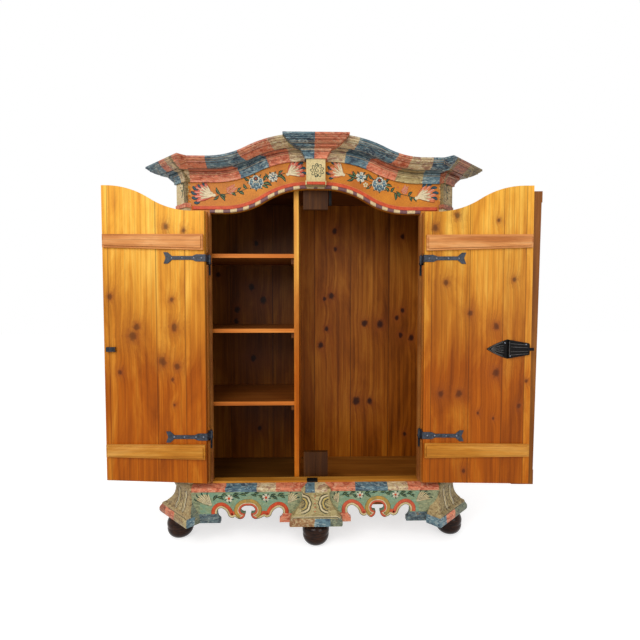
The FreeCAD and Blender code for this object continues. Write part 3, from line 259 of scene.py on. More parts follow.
def pine(name, faces, top, low=None, levels=(0.4, 1.6), joints=(), knots=(), seed=0.0,
         painted_shade=None, seam=1.0):
    """Bare pine. Top and low are its palettes near the head and the foot; joints are board edges
    in metres, and knots are places with sizes in millimetres. The shade setting is an axis, a
    side of a place on it and how dark the wood is painted there, as painted shade inside the
    case; seam is how plain the board edges and the knots' hearts are."""
    material, where, *parts = finish(name, 0.45, 0.12)
    flat = where.mapped(Rotation=TURNS[faces].to_euler())
    across = flat.split()[0]
    # each board has a tone and a grain of its own
    board = 0.5
    if joints:
        rng = random.Random(int(seed * 10) + 7)
        steps = [(0.0, rng.uniform(0.2, 0.8))]
        steps += [(0.5 + edge / SPAN, rng.uniform(0.1, 0.9)) for edge in joints]
        board = ramp(across * (1 / SPAN) + 0.5, steps, sharp=True)
    offset = put(where.tree, "CombineXYZ", None, seed, board * 5.0 + seed, seed * 0.37)
    base = flat.leap("ADD", Flow(offset.outputs[0]))
    if knots:
        # the grain runs round a knot
        near = nearest_knot(flat, knots)
        aside = put(where.tree, "CombineXYZ", None, (near * -0.55).step("EXPONENT") * 0.028)
        base = base.leap("ADD", Flow(aside.outputs[0]))
    broad = speckle(base.mapped(Scale=(9, 1.6, 9)), 1.0, 6.0, 0.62, 0.5)
    streak = speckle(base.mapped(Scale=(46, 0.9, 46)), 1.0, 4.0, 0.6, 0.3)
    fine = speckle(base.mapped(Scale=(300, 3.0, 300)), 1.0, 3.0, 0.65, 0.3)
    tone = broad * 0.6 + streak * 0.4
    colour = ramp(tone, zip(GRAIN, top))
    if low:
        level = Flow(put(where.tree, "MapRange", None, parts[2], *levels).outputs[0])
        patchy = ramp(level + (broad * 0.9 + -0.45), ((0.0, 0.0), (1.0, 1.0)))
        colour = mix(patchy, ramp(tone, zip(GRAIN, low)), colour)
    colour = mix(0.6, colour, ramp(fine, ((0.3, 0.66), (0.62, 1.0))), "MULTIPLY")
    rings = put(where.tree, "TexWave", {"bands_direction": "X"},
                Vector=base.mapped(Scale=(1.0, 0.05, 1.0)), Scale=13.0, Distortion=5.5,
                Detail=2.5, Detail_Scale=0.6, Detail_Roughness=0.6)
    bands = ramp(Flow(rings.outputs["Fac"]), ((0.0, 0.8), (0.22, 1.0), (1.0, 1.0)))
    colour = mix(0.75, colour, bands, "MULTIPLY")
    if knots:
        halo = ramp(near * 0.1, ((0.1, 0.62), (0.22, 0.2), (0.5, 0.0)))
        colour = mix(halo, colour, paint(128, 62, 22))
        heart = ramp(near * 0.1, ((0.0, 0.97 * seam), (0.06, 0.9 * seam), (0.085, 0.5 * seam),
                                  (0.112, 0.0)))
        colour = mix(heart, colour, paint(46, 20, 13))
    if joints:
        colour = mix(1.0, colour, ramp(board, ((0.0, 0.86), (1.0, 1.05))), "MULTIPLY")
        for edge in joints:
            crack = ramp(abs(across - edge) * 100.0,
                         ((0.0, 0.9 * seam), (0.08, 0.75 * seam), (0.26, 0.0)))
            colour = mix(crack, colour, paint(48, 23, 8))
    # painted shade: on one side of a place the wood is darkened, standing in for shade inside the
    # case
    if painted_shade:
        axis, side, edge, dark = painted_shade
        colour = mix(parts[axis].step(side, edge), colour, mix(1.0, colour, dark, "MULTIPLY"))
    cover(Base_Color=colour)
    relief(fine, 0.0005)
    return material


# knots: across, up and size in millimetres
LEFT_KNOTS = (
    (-717, 1587, 11), (-633, 1569, 9), (-694, 1240, 9), (-993, 1254, 12), (-865, 1107, 14),
    (-885, 1064, 20), (-682, 1107, 14), (-741, 940, 18), (-671, 916, 14), (-949, 888, 10),
    (-695, 853, 7), (-687, 728, 6))
RIGHT_KNOTS = (
    (681, 1643, 13), (576, 1587, 14), (878, 1620, 8), (631, 1322, 12), (750, 1175, 12),
    (874, 1111, 14), (956, 1337, 9), (876, 884, 18), (612, 779, 14), (700, 781, 15),
    (990, 722, 10), (792, 685, 7), (867, 658, 6), (727, 396, 10), (1023, 844, 9))
BACK_KNOTS = (
    (543, 1630, 15), (123, 1661, 16), (129, 1551, 12), (105, 1264, 18), (63, 1246, 12),
    (39, 957, 17), (311, 1095, 18), (408, 1089, 21), (547, 1174, 13), (511, 1128, 14),
    (536, 1022, 14), (603, 1004, 18), (258, 608, 24), (343, 608, 17), (566, 396, 11),
    (-386, 1318, 20), (-315, 1240, 20), (-476, 1180, 18), (-483, 1108, 16), (-377, 880, 18),
    (-343, 440, 14), (-354, 1585, 14), (-590, 1393, 14), (75, 1060, 14))
dress(pine("leaf_pine_left", "front", HONEY, AMBER, (0.80, 1.66),
           (-0.998, -0.768, -0.629, -0.533), LEFT_KNOTS, seed=1.3, seam=0.62), "door_leaf_left")
dress(pine("leaf_pine_right", "front", HONEY, AMBER, (0.86, 1.86),
           (0.562, 0.744, 0.905, 1.012), RIGHT_KNOTS, seed=4.1, seam=0.68), "door_leaf_right")
dress(pine("batten_pine", "rail", TAN, YELLOW_TAN, (0.5, 1.4), seed=2.2), "door_battens_left",
      "door_battens_right")
# painted shade: the back and the floor are darker in the left bay, and so are the shelves behind
# their front edges
dress(pine("back_pine", "front", SHADE, SHADE_LOW, (0.3, 1.6), (-0.516, -0.258, 0.0, 0.225, 0.46),
           BACK_KNOTS, seed=6.4, painted_shade=(0, "LESS_THAN", -0.098, 0.5)), "back_planks")
dress(pine("divider_pine", "side", EDGE, AMBER, (0.9, 1.8), seed=3.7), "divider")
dress(pine("cleat_pine", "level", BROWN, seed=3.1), "shelf_cleats")
dress(pine("shelf_pine", "level", RED_EDGE, seed=5.1, painted_shade=(1, "GREATER_THAN", 0.056, 0.4)),
      "shelf_1", "shelf_2", "shelf_3")
dress(pine("floor_pine", "level", FLOOR_TONE, seed=8.8, painted_shade=(0, "LESS_THAN", -0.098, 0.42)),
      "floor_board")
dress(pine("top_pine", "level", BROWN, seed=2.9), "top_board")
dress(pine("rail_pine", "rail", YELLOW_TAN, seed=7.7), "front_rail")
dress(pine("stop_pine", "front", STOP_SHADE_TONE, seed=9.2), "door_stops")
dress(pine("strip_pine", "front", STRIP_TONE, seed=3.3), "door_pilaster")
dress(pine("frame_pine", "rail", SHADE, seed=0.6), "base_frame")
print("pine on", len(dressed), "pieces")

# %% [markdown]
# The mouldings are marbled in blocks of coral, blue and cream, each with loose veins.
# The blocks could be separate pieces, but the real ones are painted on one length of wood,
# so the colour steps along the piece and a little noise makes the painter's edge unsteady.
# A row of blocks is written as palettes with the places of the joints between them.

# %% Marbling
# metres: how far the cornice stands out at its front and its corners, where its crown begins,
# how far its bed mouldings stand out, and a distance past them all
CORNICE_OUT, CORNER_OUT, BED_OUT, BED_EDGE, PAST = 0.136, 0.108, 0.0705, 0.071, 0.2
# where the canted faces and the sides of the case lie
CANT_FACE, SIDE_FACE, HALF_ROOT = 0.6488, 0.679, 0.7071
# the arch is steepest at one place on each side, and level again this far from it
STEEP_AT, STEEP_REACH, LEAN, MITRE = 0.287, 0.217, 0.8, 0.414


def marbled(where, along, blocks):
    """A row of blocks of marbled paint along a piece."""
    fitted = (speckle(where, 30.0, 2.0) * 0.012 + along) * 0.5 + 0.5
    starts = (0.0, *(0.5 + start / 2 for start in blocks[1::2]))
    ground_coat, clouds, veins = (
        ramp(fitted, [(start, palette[coat]) for start, palette in zip(starts, blocks[::2])],
             sharp=True) for coat in range(3))
    cloud = speckle(where.mapped(Scale=(17, 24, 38)), 1.0, 6.0, 0.6, 1.6)
    vein = speckle(where.mapped(Scale=(22, 30, 54), Location=(3, 1, 7)), 1.0, 5.0, 0.62, 2.6)
    colour = mix(ramp(cloud, ((0.47, 0.0), (0.58, 0.9))), ground_coat, clouds)
    return mix(ramp(vein, ((0.53, 0.0), (0.60, 0.85), (0.70, 0.4))), colour, veins)


def worn(where, colour, amount=0.62, dirt_share=0.8):
    """Old paint: rubbed spots where the wood shows, and fine dirt."""
    rubbed = speckle(where, 42.0, 9.0, 0.74)
    bare = ramp(rubbed, ((amount, 0.0), (amount + 0.05, 0.75)))
    colour = mix(bare, colour, paint(140, 104, 62))
    dirt_and_shade = speckle(where, 150.0, 6.0, 0.72)
    relief(rubbed + dirt_and_shade, 0.0004)
    return mix(dirt_share, colour, ramp(dirt_and_shade, ((0.32, 0.6), (0.58, 1.0))), "MULTIPLY")


def profile(out, *stops, sharp=False):
    """Values over how far a moulding stands out, from the wall to past its edge."""
    return ramp(out * (1 / PAST), [(at / PAST, value) for at, value in stops], sharp)


def cornice_paint(name, crown, bed, hand=0, flank=0):
    """Marbling for the cornice: one row of blocks above and one on the mouldings below. The
    joints lean with the slope of the arch, to the left or the right hand, and on a corner
    piece they turn with its flank."""
    material, where, across, depth, _ = finish(name, 0.4)
    out, along = depth * -1.0, across
    if flank:
        side = abs(across)
        cant = (side - depth - CANT_FACE) * HALF_ROOT
        turned = cant.step("MAXIMUM", side - SIDE_FACE)
        out = out.step("MAXIMUM", turned * (CORNICE_OUT / CORNER_OUT))
        along = out * (MITRE * flank) + across
    steep = (abs(abs(across) - STEEP_AT) * (-1 / STEEP_REACH) + 1.0).step("MAXIMUM", 0.0)
    upper, lower = (marbled(where, along + steep * (LEAN * hand) * (out * -1.0 + edge), blocks)
                    for blocks, edge in ((crown, CORNICE_OUT), (bed, BED_EDGE)))
    colour = mix(profile(out, (0.0, 0.0), (BED_OUT, 1.0), (PAST, 1.0), sharp=True), lower, upper)
    # painted shade darkens the quirks between the mouldings, and a painted highlight runs pale
    # along the arrises
    dirt_and_shade = profile(out, (0.0, 0.8), (0.012, 1.0), (0.030, 1.0), (0.0325, 0.4), (0.036, 1.0),
                   (0.067, 0.95), (BED_OUT, 0.22), (0.0735, 0.9), (0.076, 1.0), (0.106, 1.0),
                   (0.1165, 0.5), (0.119, 1.0), (0.1235, 0.7), (0.126, 1.0), (0.134, 0.95),
                   (CORNICE_OUT, 0.7), (PAST, 0.9))
    painted_highlight = profile(out, (0.0, 0.0), (0.028, 0.0), (0.030, 0.5), (0.0315, 0.0), (0.0745, 0.0),
                    (0.0765, 0.5), (0.0785, 0.0), (0.1185, 0.0), (0.1205, 0.55), (0.1225, 0.0),
                    (0.1265, 0.0), (0.1285, 0.4), (0.131, 0.0), (PAST, 0.0))
    colour = mix(painted_highlight, mix(1.0, colour, dirt_and_shade, "MULTIPLY"), paint(232, 200, 150))
    cover(Base_Color=worn(where, colour))
    return material


dress(cornice_paint("cornice_left_paint",
                    (CORALS, -0.514, BLUES, -0.366, CORALS, -0.219, CREAMS, -0.136, BUFFS),
                    (CORALS, -0.391, BLUES, -0.263, CORALS, -0.135, CREAMS), -1),
      "cornice_front_left")
dress(cornice_paint("cornice_right_paint",
                    (CREAMS, 0.205, BLUES, 0.384, CORALS, 0.446, CREAMS, 0.551, BLUES),
                    (CREAMS, 0.162, BLUES, 0.294, CORALS, 0.416, BUFFS, 0.53, BLUES), 1),
      "cornice_front_right")
dress(cornice_paint("cornice_key_paint", (BLUES, -0.002, CORALS), (BLUES, -0.002, CORALS)),
      "cornice_keystone")
dress(cornice_paint("cornice_corner_left_paint",
                    (BLUES, -0.694, CORALS, -0.652, CREAMS, -0.622, OLIVES, -0.609, CORALS),
                    (BLUES, -0.655, CREAMS, -0.622, OLIVES, -0.609, CREAMS), 0, 1),
      "cornice_corner_left")
dress(cornice_paint("cornice_corner_right_paint",
                    (BLUES, 0.598, OLIVES, 0.622, RUSTS, 0.70, OLIVES),
                    (BLUES, 0.600, RUSTS, 0.625, OLIVES, 0.634, RUSTS), 0, -1),
      "cornice_corner_right")


def zoned(name, row, zones=(), axis=0, rough=0.45, amount=0.6):
    """A row of blocks along an axis, and zones by height with rows of their own. A zone reaches
    up to its height in metres, or down to it where that is written as a negative number."""
    material, where, *parts = finish(name, rough)
    high = speckle(where, 26.0, 2.0) * 0.010 + (parts[2] + -0.005)
    colour = marbled(where, parts[axis], row)
    for edge, blocks in zones:
        share = high.step("GREATER_THAN" if edge < 0 else "LESS_THAN", abs(edge))
        colour = mix(share, colour, marbled(where, parts[axis], blocks))
    cover(Base_Color=worn(where, colour, amount))
    return material


for name, row, axis, pieces in (
        ("plinth_left_paint", (CORALS, -0.447, BLUES, -0.294, CREAMS, -0.197, CORALS), 0,
         ("plinth_moulding_left",)),
        ("plinth_right_paint", (CORALS, 0.201, BLUES, 0.363, CREAMS, 0.461, CORALS), 0,
         ("plinth_moulding_right",)),
        ("side_moulding_paint", (CORALS, 0.14, BLUES, 0.26, CREAMS, 0.36, CORALS, 0.47, BLUES), 1,
         ("side_moulding_left", "side_moulding_right"))):
    dress(zoned(name, row, axis=axis, rough=0.42, amount=0.62), *pieces)
print("marbling on the mouldings")

# %% Skirts, blocks and plain grounds
for name, row, zones, axis, pieces in (
        ("skirt_left_paint", (DULLS, -0.575, TEALS, -0.135, DULLS),
         ((0.172, (SLATES, -0.36, CORALS)),), 0, ("front_skirt_left",)),
        ("skirt_right_paint", (DULLS, 0.115, TEALS, 0.52, DULLS),
         ((0.172, (CORALS, 0.32, SLATES)),), 0, ("front_skirt_right",)),
        ("side_skirt_paint", (TEALS,), ((0.172, (CORALS, 0.32, BLUES)),), 1,
         ("side_skirt_left", "side_skirt_right")),
        ("centre_block_paint", (STONES,),
         ((0.166, (CLAYS, 0.0, BLUES, 0.072, GREENS)),
          (-0.286, (BUFFS, -0.052, BLUES, -0.004, CREAMS, 0.06, BUFFS))), 0,
         ("plinth_block_centre",)),
        ("corner_block_left_paint", (BLOCKS, -0.61, GREENS),
         ((0.168, (RUSTS, -0.775, CORALS, -0.715, BLOCKS, -0.652, BUFFS, -0.630, BLUES, -0.598,
                   GREENS)),), 0, ("plinth_block_left",)),
        ("corner_block_right_paint", (BLOCKS, 0.62, DUNS),
         ((0.168, (BLUES, 0.655, CORALS, 0.715, GREENS)),), 0, ("plinth_block_right",)),
        ("frieze_block_left_paint", (IVORIES, -0.6465, OLIVES, -0.618, OCHRES),
         ((1.712, (CORALS,)),), 0, ("frieze_block_left",)),
        ("frieze_block_right_paint", (OCHRES, 0.618, OLIVES, 0.6465, BLOCKS),
         ((1.712, (RUSTS,)),), 0, ("frieze_block_right",))):
    dress(zoned(name, row, zones, axis), *pieces)


def clouded(where, colour, second, scale=7.0, detail=5.0, rough=0.6, edges=(0.35, 0.65)):
    """Soft clouds of a second colour in a first."""
    cloud = speckle(where, scale, detail, rough)
    return mix(ramp(cloud, ((edges[0], 0.0), (edges[1], 1.0))), colour, second)


def ground(name, colour, second):
    """An even coat of old paint with soft clouds in it."""
    material, where, *_ = finish(name, 0.45)
    cover(Base_Color=worn(where, clouded(where, colour, second)))
    return material


dress(ground("frieze_ochre", OCHRE, OCHRE_DARK), "frieze_board")
dress(ground("block_buff", BUFF, paint(184, 160, 108)), "keystone_block")
dress(ground("case_ochre", OCHRE_DARK, paint(150, 96, 40)), "door_face_left",
      "door_face_right")
dress(ground("post_paint", paint(176, 112, 50), paint(140, 80, 34)), "front_post_left",
      "front_post_right")
dress(ground("panel_cream", CREAM, paint(188, 168, 120)), "door_panels_left",
      "door_panels_right", "corner_pilaster_left", "corner_pilaster_right")

# the side panels are bare inside and painted outside; the inside of the left one is darkened as
# painted shade
wall = pine("wall_pine", "side", SHADE, SHADE_LOW, (0.3, 1.6), (0.2, 0.38), seed=7.1,
            painted_shade=(0, "LESS_THAN", -0.1, 0.62))
shader = wall.node_tree.nodes["Principled BSDF"]
bare_wood = Flow(shader.inputs["Base Color"].links[0].from_socket)
where = Flow(put(wall.node_tree, "TexCoord").outputs["Object"])
outside = abs(where.split()[0]).step("GREATER_THAN", SIDE_FACE - MM)
coat = worn(where, clouded(where, OCHRE_DARK, paint(150, 96, 40)))
cover(Base_Color=mix(outside, bare_wood, coat))
dress(wall, "side_panel_left", "side_panel_right")


def dashed(name):
    """The bead round the doorway is painted in dashes, plum and cream in turn."""
    material, where, across, *_ = finish(name, 0.42)
    side = speckle(where, 60.0, 2.0) * 0.006 + abs(across)
    edges = (0.0, 0.010, 0.045, 0.079, 0.113, 0.153, 0.187, 0.206, 0.237, 0.271, 0.299, 0.330,
             0.359, 0.390, 0.420, 0.457, 0.496)
    stops = [(edge, CREAM if index % 2 else PLUM) for index, edge in enumerate(edges)]
    cover(Base_Color=worn(where, ramp(side, stops, sharp=True)))
    return material


def forged(name, low, high, gloss):
    """Forged iron: nearly black, with hammer marks and a dull shine."""
    material, where, *_ = finish(name, 0.5, gloss)
    marks = speckle(where, 90.0, 5.0, 0.6)
    cover(Base_Color=ramp(marks, ((0.3, low), (0.7, high))),
          Roughness=ramp(marks, ((0.3, 0.3), (0.75, 0.6))))
    relief(marks, 0.0016, 0.6)
    return material


def turned_wood(name):
    """Dark stained feet with a polished belly."""
    material, where, *_ = finish(name, 0.16, 0.12)
    cloud = speckle(where.mapped(Scale=(30, 30, 140)), 1.0, 5.0, 0.6)
    cover(Base_Color=ramp(cloud, ((0.35, paint(20, 11, 8)), (0.72, paint(62, 36, 22)))))
    relief(cloud, 0.0003)
    return material


dress(dashed("bead_dashes"), "arch_bead")
dress(forged("forged_iron", paint(12, 12, 15), paint(46, 48, 58), 0.25), "keyhole_plate",
      "bolt_keeper", "hinge_pintles")
dress(forged("strap_iron", paint(14, 15, 19), paint(60, 67, 80), 0.3), "door_straps_left",
      "door_straps_right")
dress(forged("lock_iron", paint(5, 5, 6), paint(26, 24, 23), 0.06), "lock_case", "lock_bolt",
      "catch_plates")
dress(turned_wood("foot_wood"), "foot_front_centre", "foot_front_left", "foot_front_right",
      "foot_rear_left", "foot_rear_right")
print("nodes without a finish:", sorted(set(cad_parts) - set(dressed)))

# %% [markdown]
# The painter's flowers, shells, leaves and bands lie on the wood as brush strokes. Each stroke
# is a flat drop of paint along a curve, thick in the middle and drawn out at its ends. A sheet
# is the painted side of one or more boards: it has an origin, a right and an up direction, and
# the boards that its strokes fall on. Strokes are written in millimetres on their sheet, then
# laid on the boards by casting each point down onto them, so they follow slopes and bulges.

# %% Sheets for the brushwork
# how far the hinge pins stand from the middle, in millimetres
PIN = 521
sheets = {}


def spread(name, boards, body="case", turn=0, origin=(0, 0)):
    """A sheet on some boards: it looks to the front, or is turned from there about its origin."""
    swing = Matrix.Rotation(math.radians(turn), 3, "Z")
    right, up, out = (swing @ Vector(way) for way in ((1, 0, 0), (0, 0, 1), (0, -1, 0)))
    sheets[name] = (Vector((*origin, 0)), right, up, out, boards, body)


for name, board in (("frieze", "frieze_board"), ("keystone", "keystone_block"),
                    ("skirt_left", "front_skirt_left"), ("skirt_right", "front_skirt_right"),
                    ("block_centre", "plinth_block_centre")):
    spread(name, (board,))
for side, hand, swing in (("left", -1, -182), ("right", 1, 177)):
    corner, pin, door = (hand * 0.6465, 0.0325), (hand * PIN * MM, -0.024), side + "_door"
    spread("corner_" + side, ("frieze_block_" + side, "corner_pilaster_" + side,
                              "plinth_block_" + side), "case", 45 * hand, corner)
    spread("side_" + side, ("side_skirt_" + side,), "case", 90 * hand)
    spread("flank_" + side, ("plinth_block_" + side,), "case", 135 * hand, corner)
    spread("straps_" + side, ("door_straps_" + side,), door)
    spread("door_" + side, ("door_panels_" + side, "door_face_" + side), door, swing, pin)
spread("lock", ("lock_case",), "right_door")
heaps = {}


def stroke(sheet, colour, points, radii, level=0, wide=1):
    """One stroke: its places in millimetres, its half widths there as parts of a common width,
    and how many coats lie under it."""
    heaps.setdefault(sheet, []).append((colour, level, points, [wide * part for part in radii]))


def polar(centre, far, turn):
    """A place at a distance and an angle in degrees from another."""
    return (centre[0] + far * math.cos(math.radians(turn)),
            centre[1] + far * math.sin(math.radians(turn)))


def about(centre, size, *spots):
    """Places about a centre: each by its distance in sizes, and its angle."""
    return [polar(centre, size * far, turn) for far, turn in spots]


def evenly(start, stop, count):
    """Numbers from one to another in even steps."""
    return [start + (stop - start) * index / count for index in range(count + 1)]


def between(first, second, share, aside=0.0):
    """A place on the way from one to another, moved aside by a part of the way."""
    across, up = second[0] - first[0], second[1] - first[1]
    return (first[0] + across * share - up * aside, first[1] + up * share + across * aside)


def way(base, tip, *steps):
    """Places on the way from one to another: each by its share, and how far it is moved aside."""
    return [between(base, tip, *step) for step in steps]


def drop(sheet, colour, base, tip, wide, bend=0.0, level=1):
    """A petal or comma stroke from its pointed base to its round tip."""
    points = [base, *way(base, tip, (0.3, bend * 0.7), (0.68, bend)), tip]
    stroke(sheet, colour, points, (0.12, 0.36, 0.52, 0.30), level, wide)


def leaf(sheet, base, tip, wide):
    """A leaf with a pale vein."""
    tip = between(base, tip, 1.16)
    stroke(sheet, "leaf_green", [base, *way(base, tip, (0.35, 0.15), (0.7, 0.12)), tip],
           (0.195, 0.65, 0.546, 0.078), 1, wide)
    stroke(sheet, "pale_green", way(base, tip, (0.1, 0.06), (0.5, 0.15), (0.85, 0.075)),
           (0.078, 0.117, 0.052), 2, wide)


def leaves(sheet, rows):
    """Leaves by the two numbers of the base, the two of the tip, and the width."""
    for across, high, tip_across, tip_high, wide in rows:
        leaf(sheet, (across, high), (tip_across, tip_high), wide)


def spot(sheet, colour, centre, size, level=3):
    """A round dab of paint."""
    stroke(sheet, colour, [(centre[0] + size * share, centre[1]) for share in
                           (-1.0, -0.85, -0.4, 0.4, 0.85, 1.0)],
           (0.1, 0.62, 1.04, 1.04, 0.62, 0.1), level, size)


def shell(sheet, base, tips, wide, outer="shell_pink"):
    """A fan of petals: pale at its foot, pink at its rim, with dark commas beyond the rim."""
    inner = "shell_white"
    for tip in tips:
        drop(sheet, outer, base, tip, wide, 0.04, 1)
        drop(sheet, "shell_rose", *way(base, tip, (0.45, -0.04), (0.97, 0.1)), wide * 0.34, 0.06, 2)
        drop(sheet, inner, base, between(base, tip, 0.72, -0.03), wide * 0.44, 0.04, 3)
        drop(sheet, "leaf_blue", *way(base, tip, (0.80, 0.17), (1.10, 0.10)), wide * 0.62, 0.16, 4)
    for first, second in zip(tips, tips[1:]):
        middle = between(first, second, 0.5)
        drop(sheet, outer, base, between(base, middle, 0.92), wide * 0.7, 0.0, 0)
        stroke(sheet, inner, way(base, middle, (0.1,), (0.5,), (0.86,)), [1.6, 1.3, 0.4], 3)
    spot(sheet, inner, base, wide * 0.36, 3)


def fan(sheet, base, tips, wide):
    """A dry fan of cream strokes with dark lines between them and green tips."""
    places = []
    for first, second in zip(tips, tips[1:]):
        places += [first, between(first, second, 0.5)]
    places.append(tips[-1])
    for index, tip in enumerate(places):
        drop(sheet, "shell_cream", base, tip, wide, 0.05, 1)
        stroke(sheet, "shell_white", way(base, tip, (0.1,), (0.55, 0.03), (0.92, 0.03)),
               [0.7, 1.7, 0.6], 2)
        if index % 2 == 0:
            drop(sheet, "leaf_green", *way(base, tip, (0.88, 0.06), (1.2,)), wide * 0.6, 0.2, 3)
        stroke(sheet, "dark_line", way(base, tip, (0.2, 0.08), (0.6, 0.08), (0.95, 0.06)),
               [0.5, 0.9, 0.4], 3)


def flower(sheet, centre, size, petal="flower_white", heart="orange_red", count=5, start=90,
           shade="shell_cream", dark=True):
    """Round petals about a heart, each with a shaded foot, and green points between them."""
    for turn in evenly(start, start + 360, count)[:-1]:
        if dark:
            side = turn + 180 / count
            drop(sheet, "leaf_green", *about(centre, size, (0.5, side), (1.22, side + 4)),
                 size * 0.30, 0.08, 0)
        stroke(sheet, petal, about(centre, size, (0.25, turn), (0.62, turn), (0.92, turn)),
               (0.22, 0.44, 0.30), 1, size)
        stroke(sheet, shade, about(centre, size, (0.3, turn + 12), (0.6, turn + 10), (0.82, turn)),
               (0.06, 0.10, 0.03), 2, size)
    spot(sheet, heart, centre, size * 0.32, 3)


def lobe(sheet, centre, size, level=1):
    """A rounded petal: a pale rim about a darker fill."""
    spot(sheet, "flower_white", centre, size, level)
    spot(sheet, "flower_blue", (centre[0], centre[1] - size * 0.1), size * 0.68, level + 1)
    spot(sheet, "flower_teal", (centre[0] + size * 0.1, centre[1] + size * 0.1), size * 0.36,
         level + 2)


def rose(sheet, centre, size, eye_turn=95):
    """A cabbage rose: rimmed grey-blue petals below, pale ones about an eye near its top."""
    for turn in evenly(10, 350, 8):
        drop(sheet, "leaf_green", *about(centre, size, (0.8, turn), (1.18, turn + 5)),
             size * 0.16, 0.1, 0)
    spot(sheet, "flower_blue", centre, size * 0.8, 0)
    for far, half, level, turns in ((0.62, 0.36, 1, (188, 229, 270, 311, 352)),
                                    (0.60, 0.34, 1, (160, 20)), (0.30, 0.30, 3, (235, 305))):
        for turn in turns:
            lobe(sheet, polar(centre, size * far, turn), size * half, level)
    eye = polar(centre, size * 0.44, eye_turn)
    for turn in evenly(20, 380, 7)[:-1]:
        spot(sheet, "flower_white", polar(eye, size * 0.30, turn), size * 0.19, 5)
        spot(sheet, "flower_blue", polar(eye, size * 0.27, turn + 8), size * 0.09, 6)
    spot(sheet, "dark_line", eye, size * 0.25, 6)
    spot(sheet, "eye_brown", eye, size * 0.19, 7)
    spot(sheet, "shell_pink", polar(eye, size * 0.05, 120), size * 0.07, 8)


def blossom(sheet, base, tip, wide):
    """A feathery sprig of thin pink strokes on both sides of a stem."""
    colour = "shell_pink"
    line(sheet, colour, [base, between(base, tip, 0.5, 0.05), tip], 1.3, 1)
    for index in range(7):
        share = 0.12 + 0.13 * index
        for side in (0.34, -0.34):
            foot = between(base, tip, share)
            end = between(base, tip, share + 0.26, side * (1.15 - share * 0.6) * wide / 36)
            drop(sheet, colour, foot, end, wide * 0.13, side * 0.4, 1)
            stroke(sheet, "shell_white", [foot, between(foot, end, 0.6), end], [0.4, 0.8, 0.3], 2)


def line(sheet, colour, points, half, level=0):
    """A band of even width with blunt ends."""
    stroke(sheet, colour, points, [half] * len(points), level)


def level_line(sheet, colour, reach, height, half, level=1):
    """A level band as far to the left as to the right."""
    line(sheet, colour, [(across, height) for across in (-reach, 0, reach)], half, level)


def curl(sheet, colour, centre, size, turns, start, half, level=1, hand=1, squash=1.0):
    """A spiral line that winds in to a centre."""
    shares = evenly(0, 1, max(6, int(turns * 10)))
    places = about((0, 0), size, *((1 - 0.82 * share, start + hand * 360 * turns * share)
                                   for share in shares))
    stroke(sheet, colour, [(centre[0] + across * squash, centre[1] + up) for across, up in places],
           [1 - 0.35 * share for share in shares], level, half)


print("brush motifs ready")

# %% [markdown]
# On the frieze the painter set the same things on each side of the keystone, though by eye:
# a shell in each end, a sprig with a pink blossom, a large rose, a small white flower and a
# shell by the keystone, all on a thin stem, over an orange-red band that follows the arch.

# %% The frieze
ARCH_LOW, ARCH_HIGH, ARCH_FLAT, ARCH_END = 1666, 1787, 40, 455


def arch_height(across):
    """The height of the doorway's edge: two equal arcs on each side that meet smoothly."""
    far = min(max(abs(across), ARCH_FLAT), ARCH_END)
    run, rise = ARCH_END - ARCH_FLAT, ARCH_HIGH - ARCH_LOW
    radius = (run * run + rise * rise) / (4 * rise)
    if far < (ARCH_FLAT + ARCH_END) / 2:
        return ARCH_HIGH - radius + math.sqrt(radius ** 2 - (far - ARCH_FLAT) ** 2)
    return ARCH_LOW + radius - math.sqrt(radius ** 2 - (ARCH_END - far) ** 2)


def arch_line(start, stop, above, count=14):
    """Places along the arch, kept at an even distance above its edge."""
    places = []
    for across in evenly(start, stop, count):
        slope = (arch_height(across + 1) - arch_height(across - 1)) / 2
        size = math.hypot(1, slope)
        places.append((across - above * slope / size, arch_height(across) + above / size))
    return places


for start, stop in ((-607, -30), (30, 607)):
    line("frieze", "orange_red", arch_line(start, stop, 25, 26), 10, 0)
    line("frieze", "shell_orange", arch_line(start, stop, 34, 26), 1.6, 1)

shell("frieze", (-500, 1752), ((-590, 1729), (-598, 1753), (-598, 1778), (-588, 1800)), 25)
shell("frieze", (-512, 1762), ((-566, 1806), (-543, 1812)), 20)
shell("frieze", (-138, 1856), ((-54, 1850), (-56, 1874), (-64, 1899), (-86, 1916),
                               (-108, 1922)), 22)
shell("frieze", (138, 1856), ((112, 1930), (92, 1926), (72, 1900), (62, 1874), (72, 1849)), 21,
      outer="shell_orange")
shell("frieze", (502, 1744), ((550, 1802), (576, 1800), (597, 1781), (602, 1755),
                              (594, 1729)), 25, outer="shell_orange")
for stem in (((-500, 1742), (-470, 1752), (-420, 1764), (-380, 1768), (-330, 1790)),
             ((-262, 1822), (-235, 1838), (-190, 1850), (-150, 1862)),
             ((150, 1862), (190, 1850), (240, 1834), (290, 1818)),
             ((340, 1792), (390, 1768), (440, 1760), (495, 1745))):
    line("frieze", "leaf_green", stem, 1.4, 0)
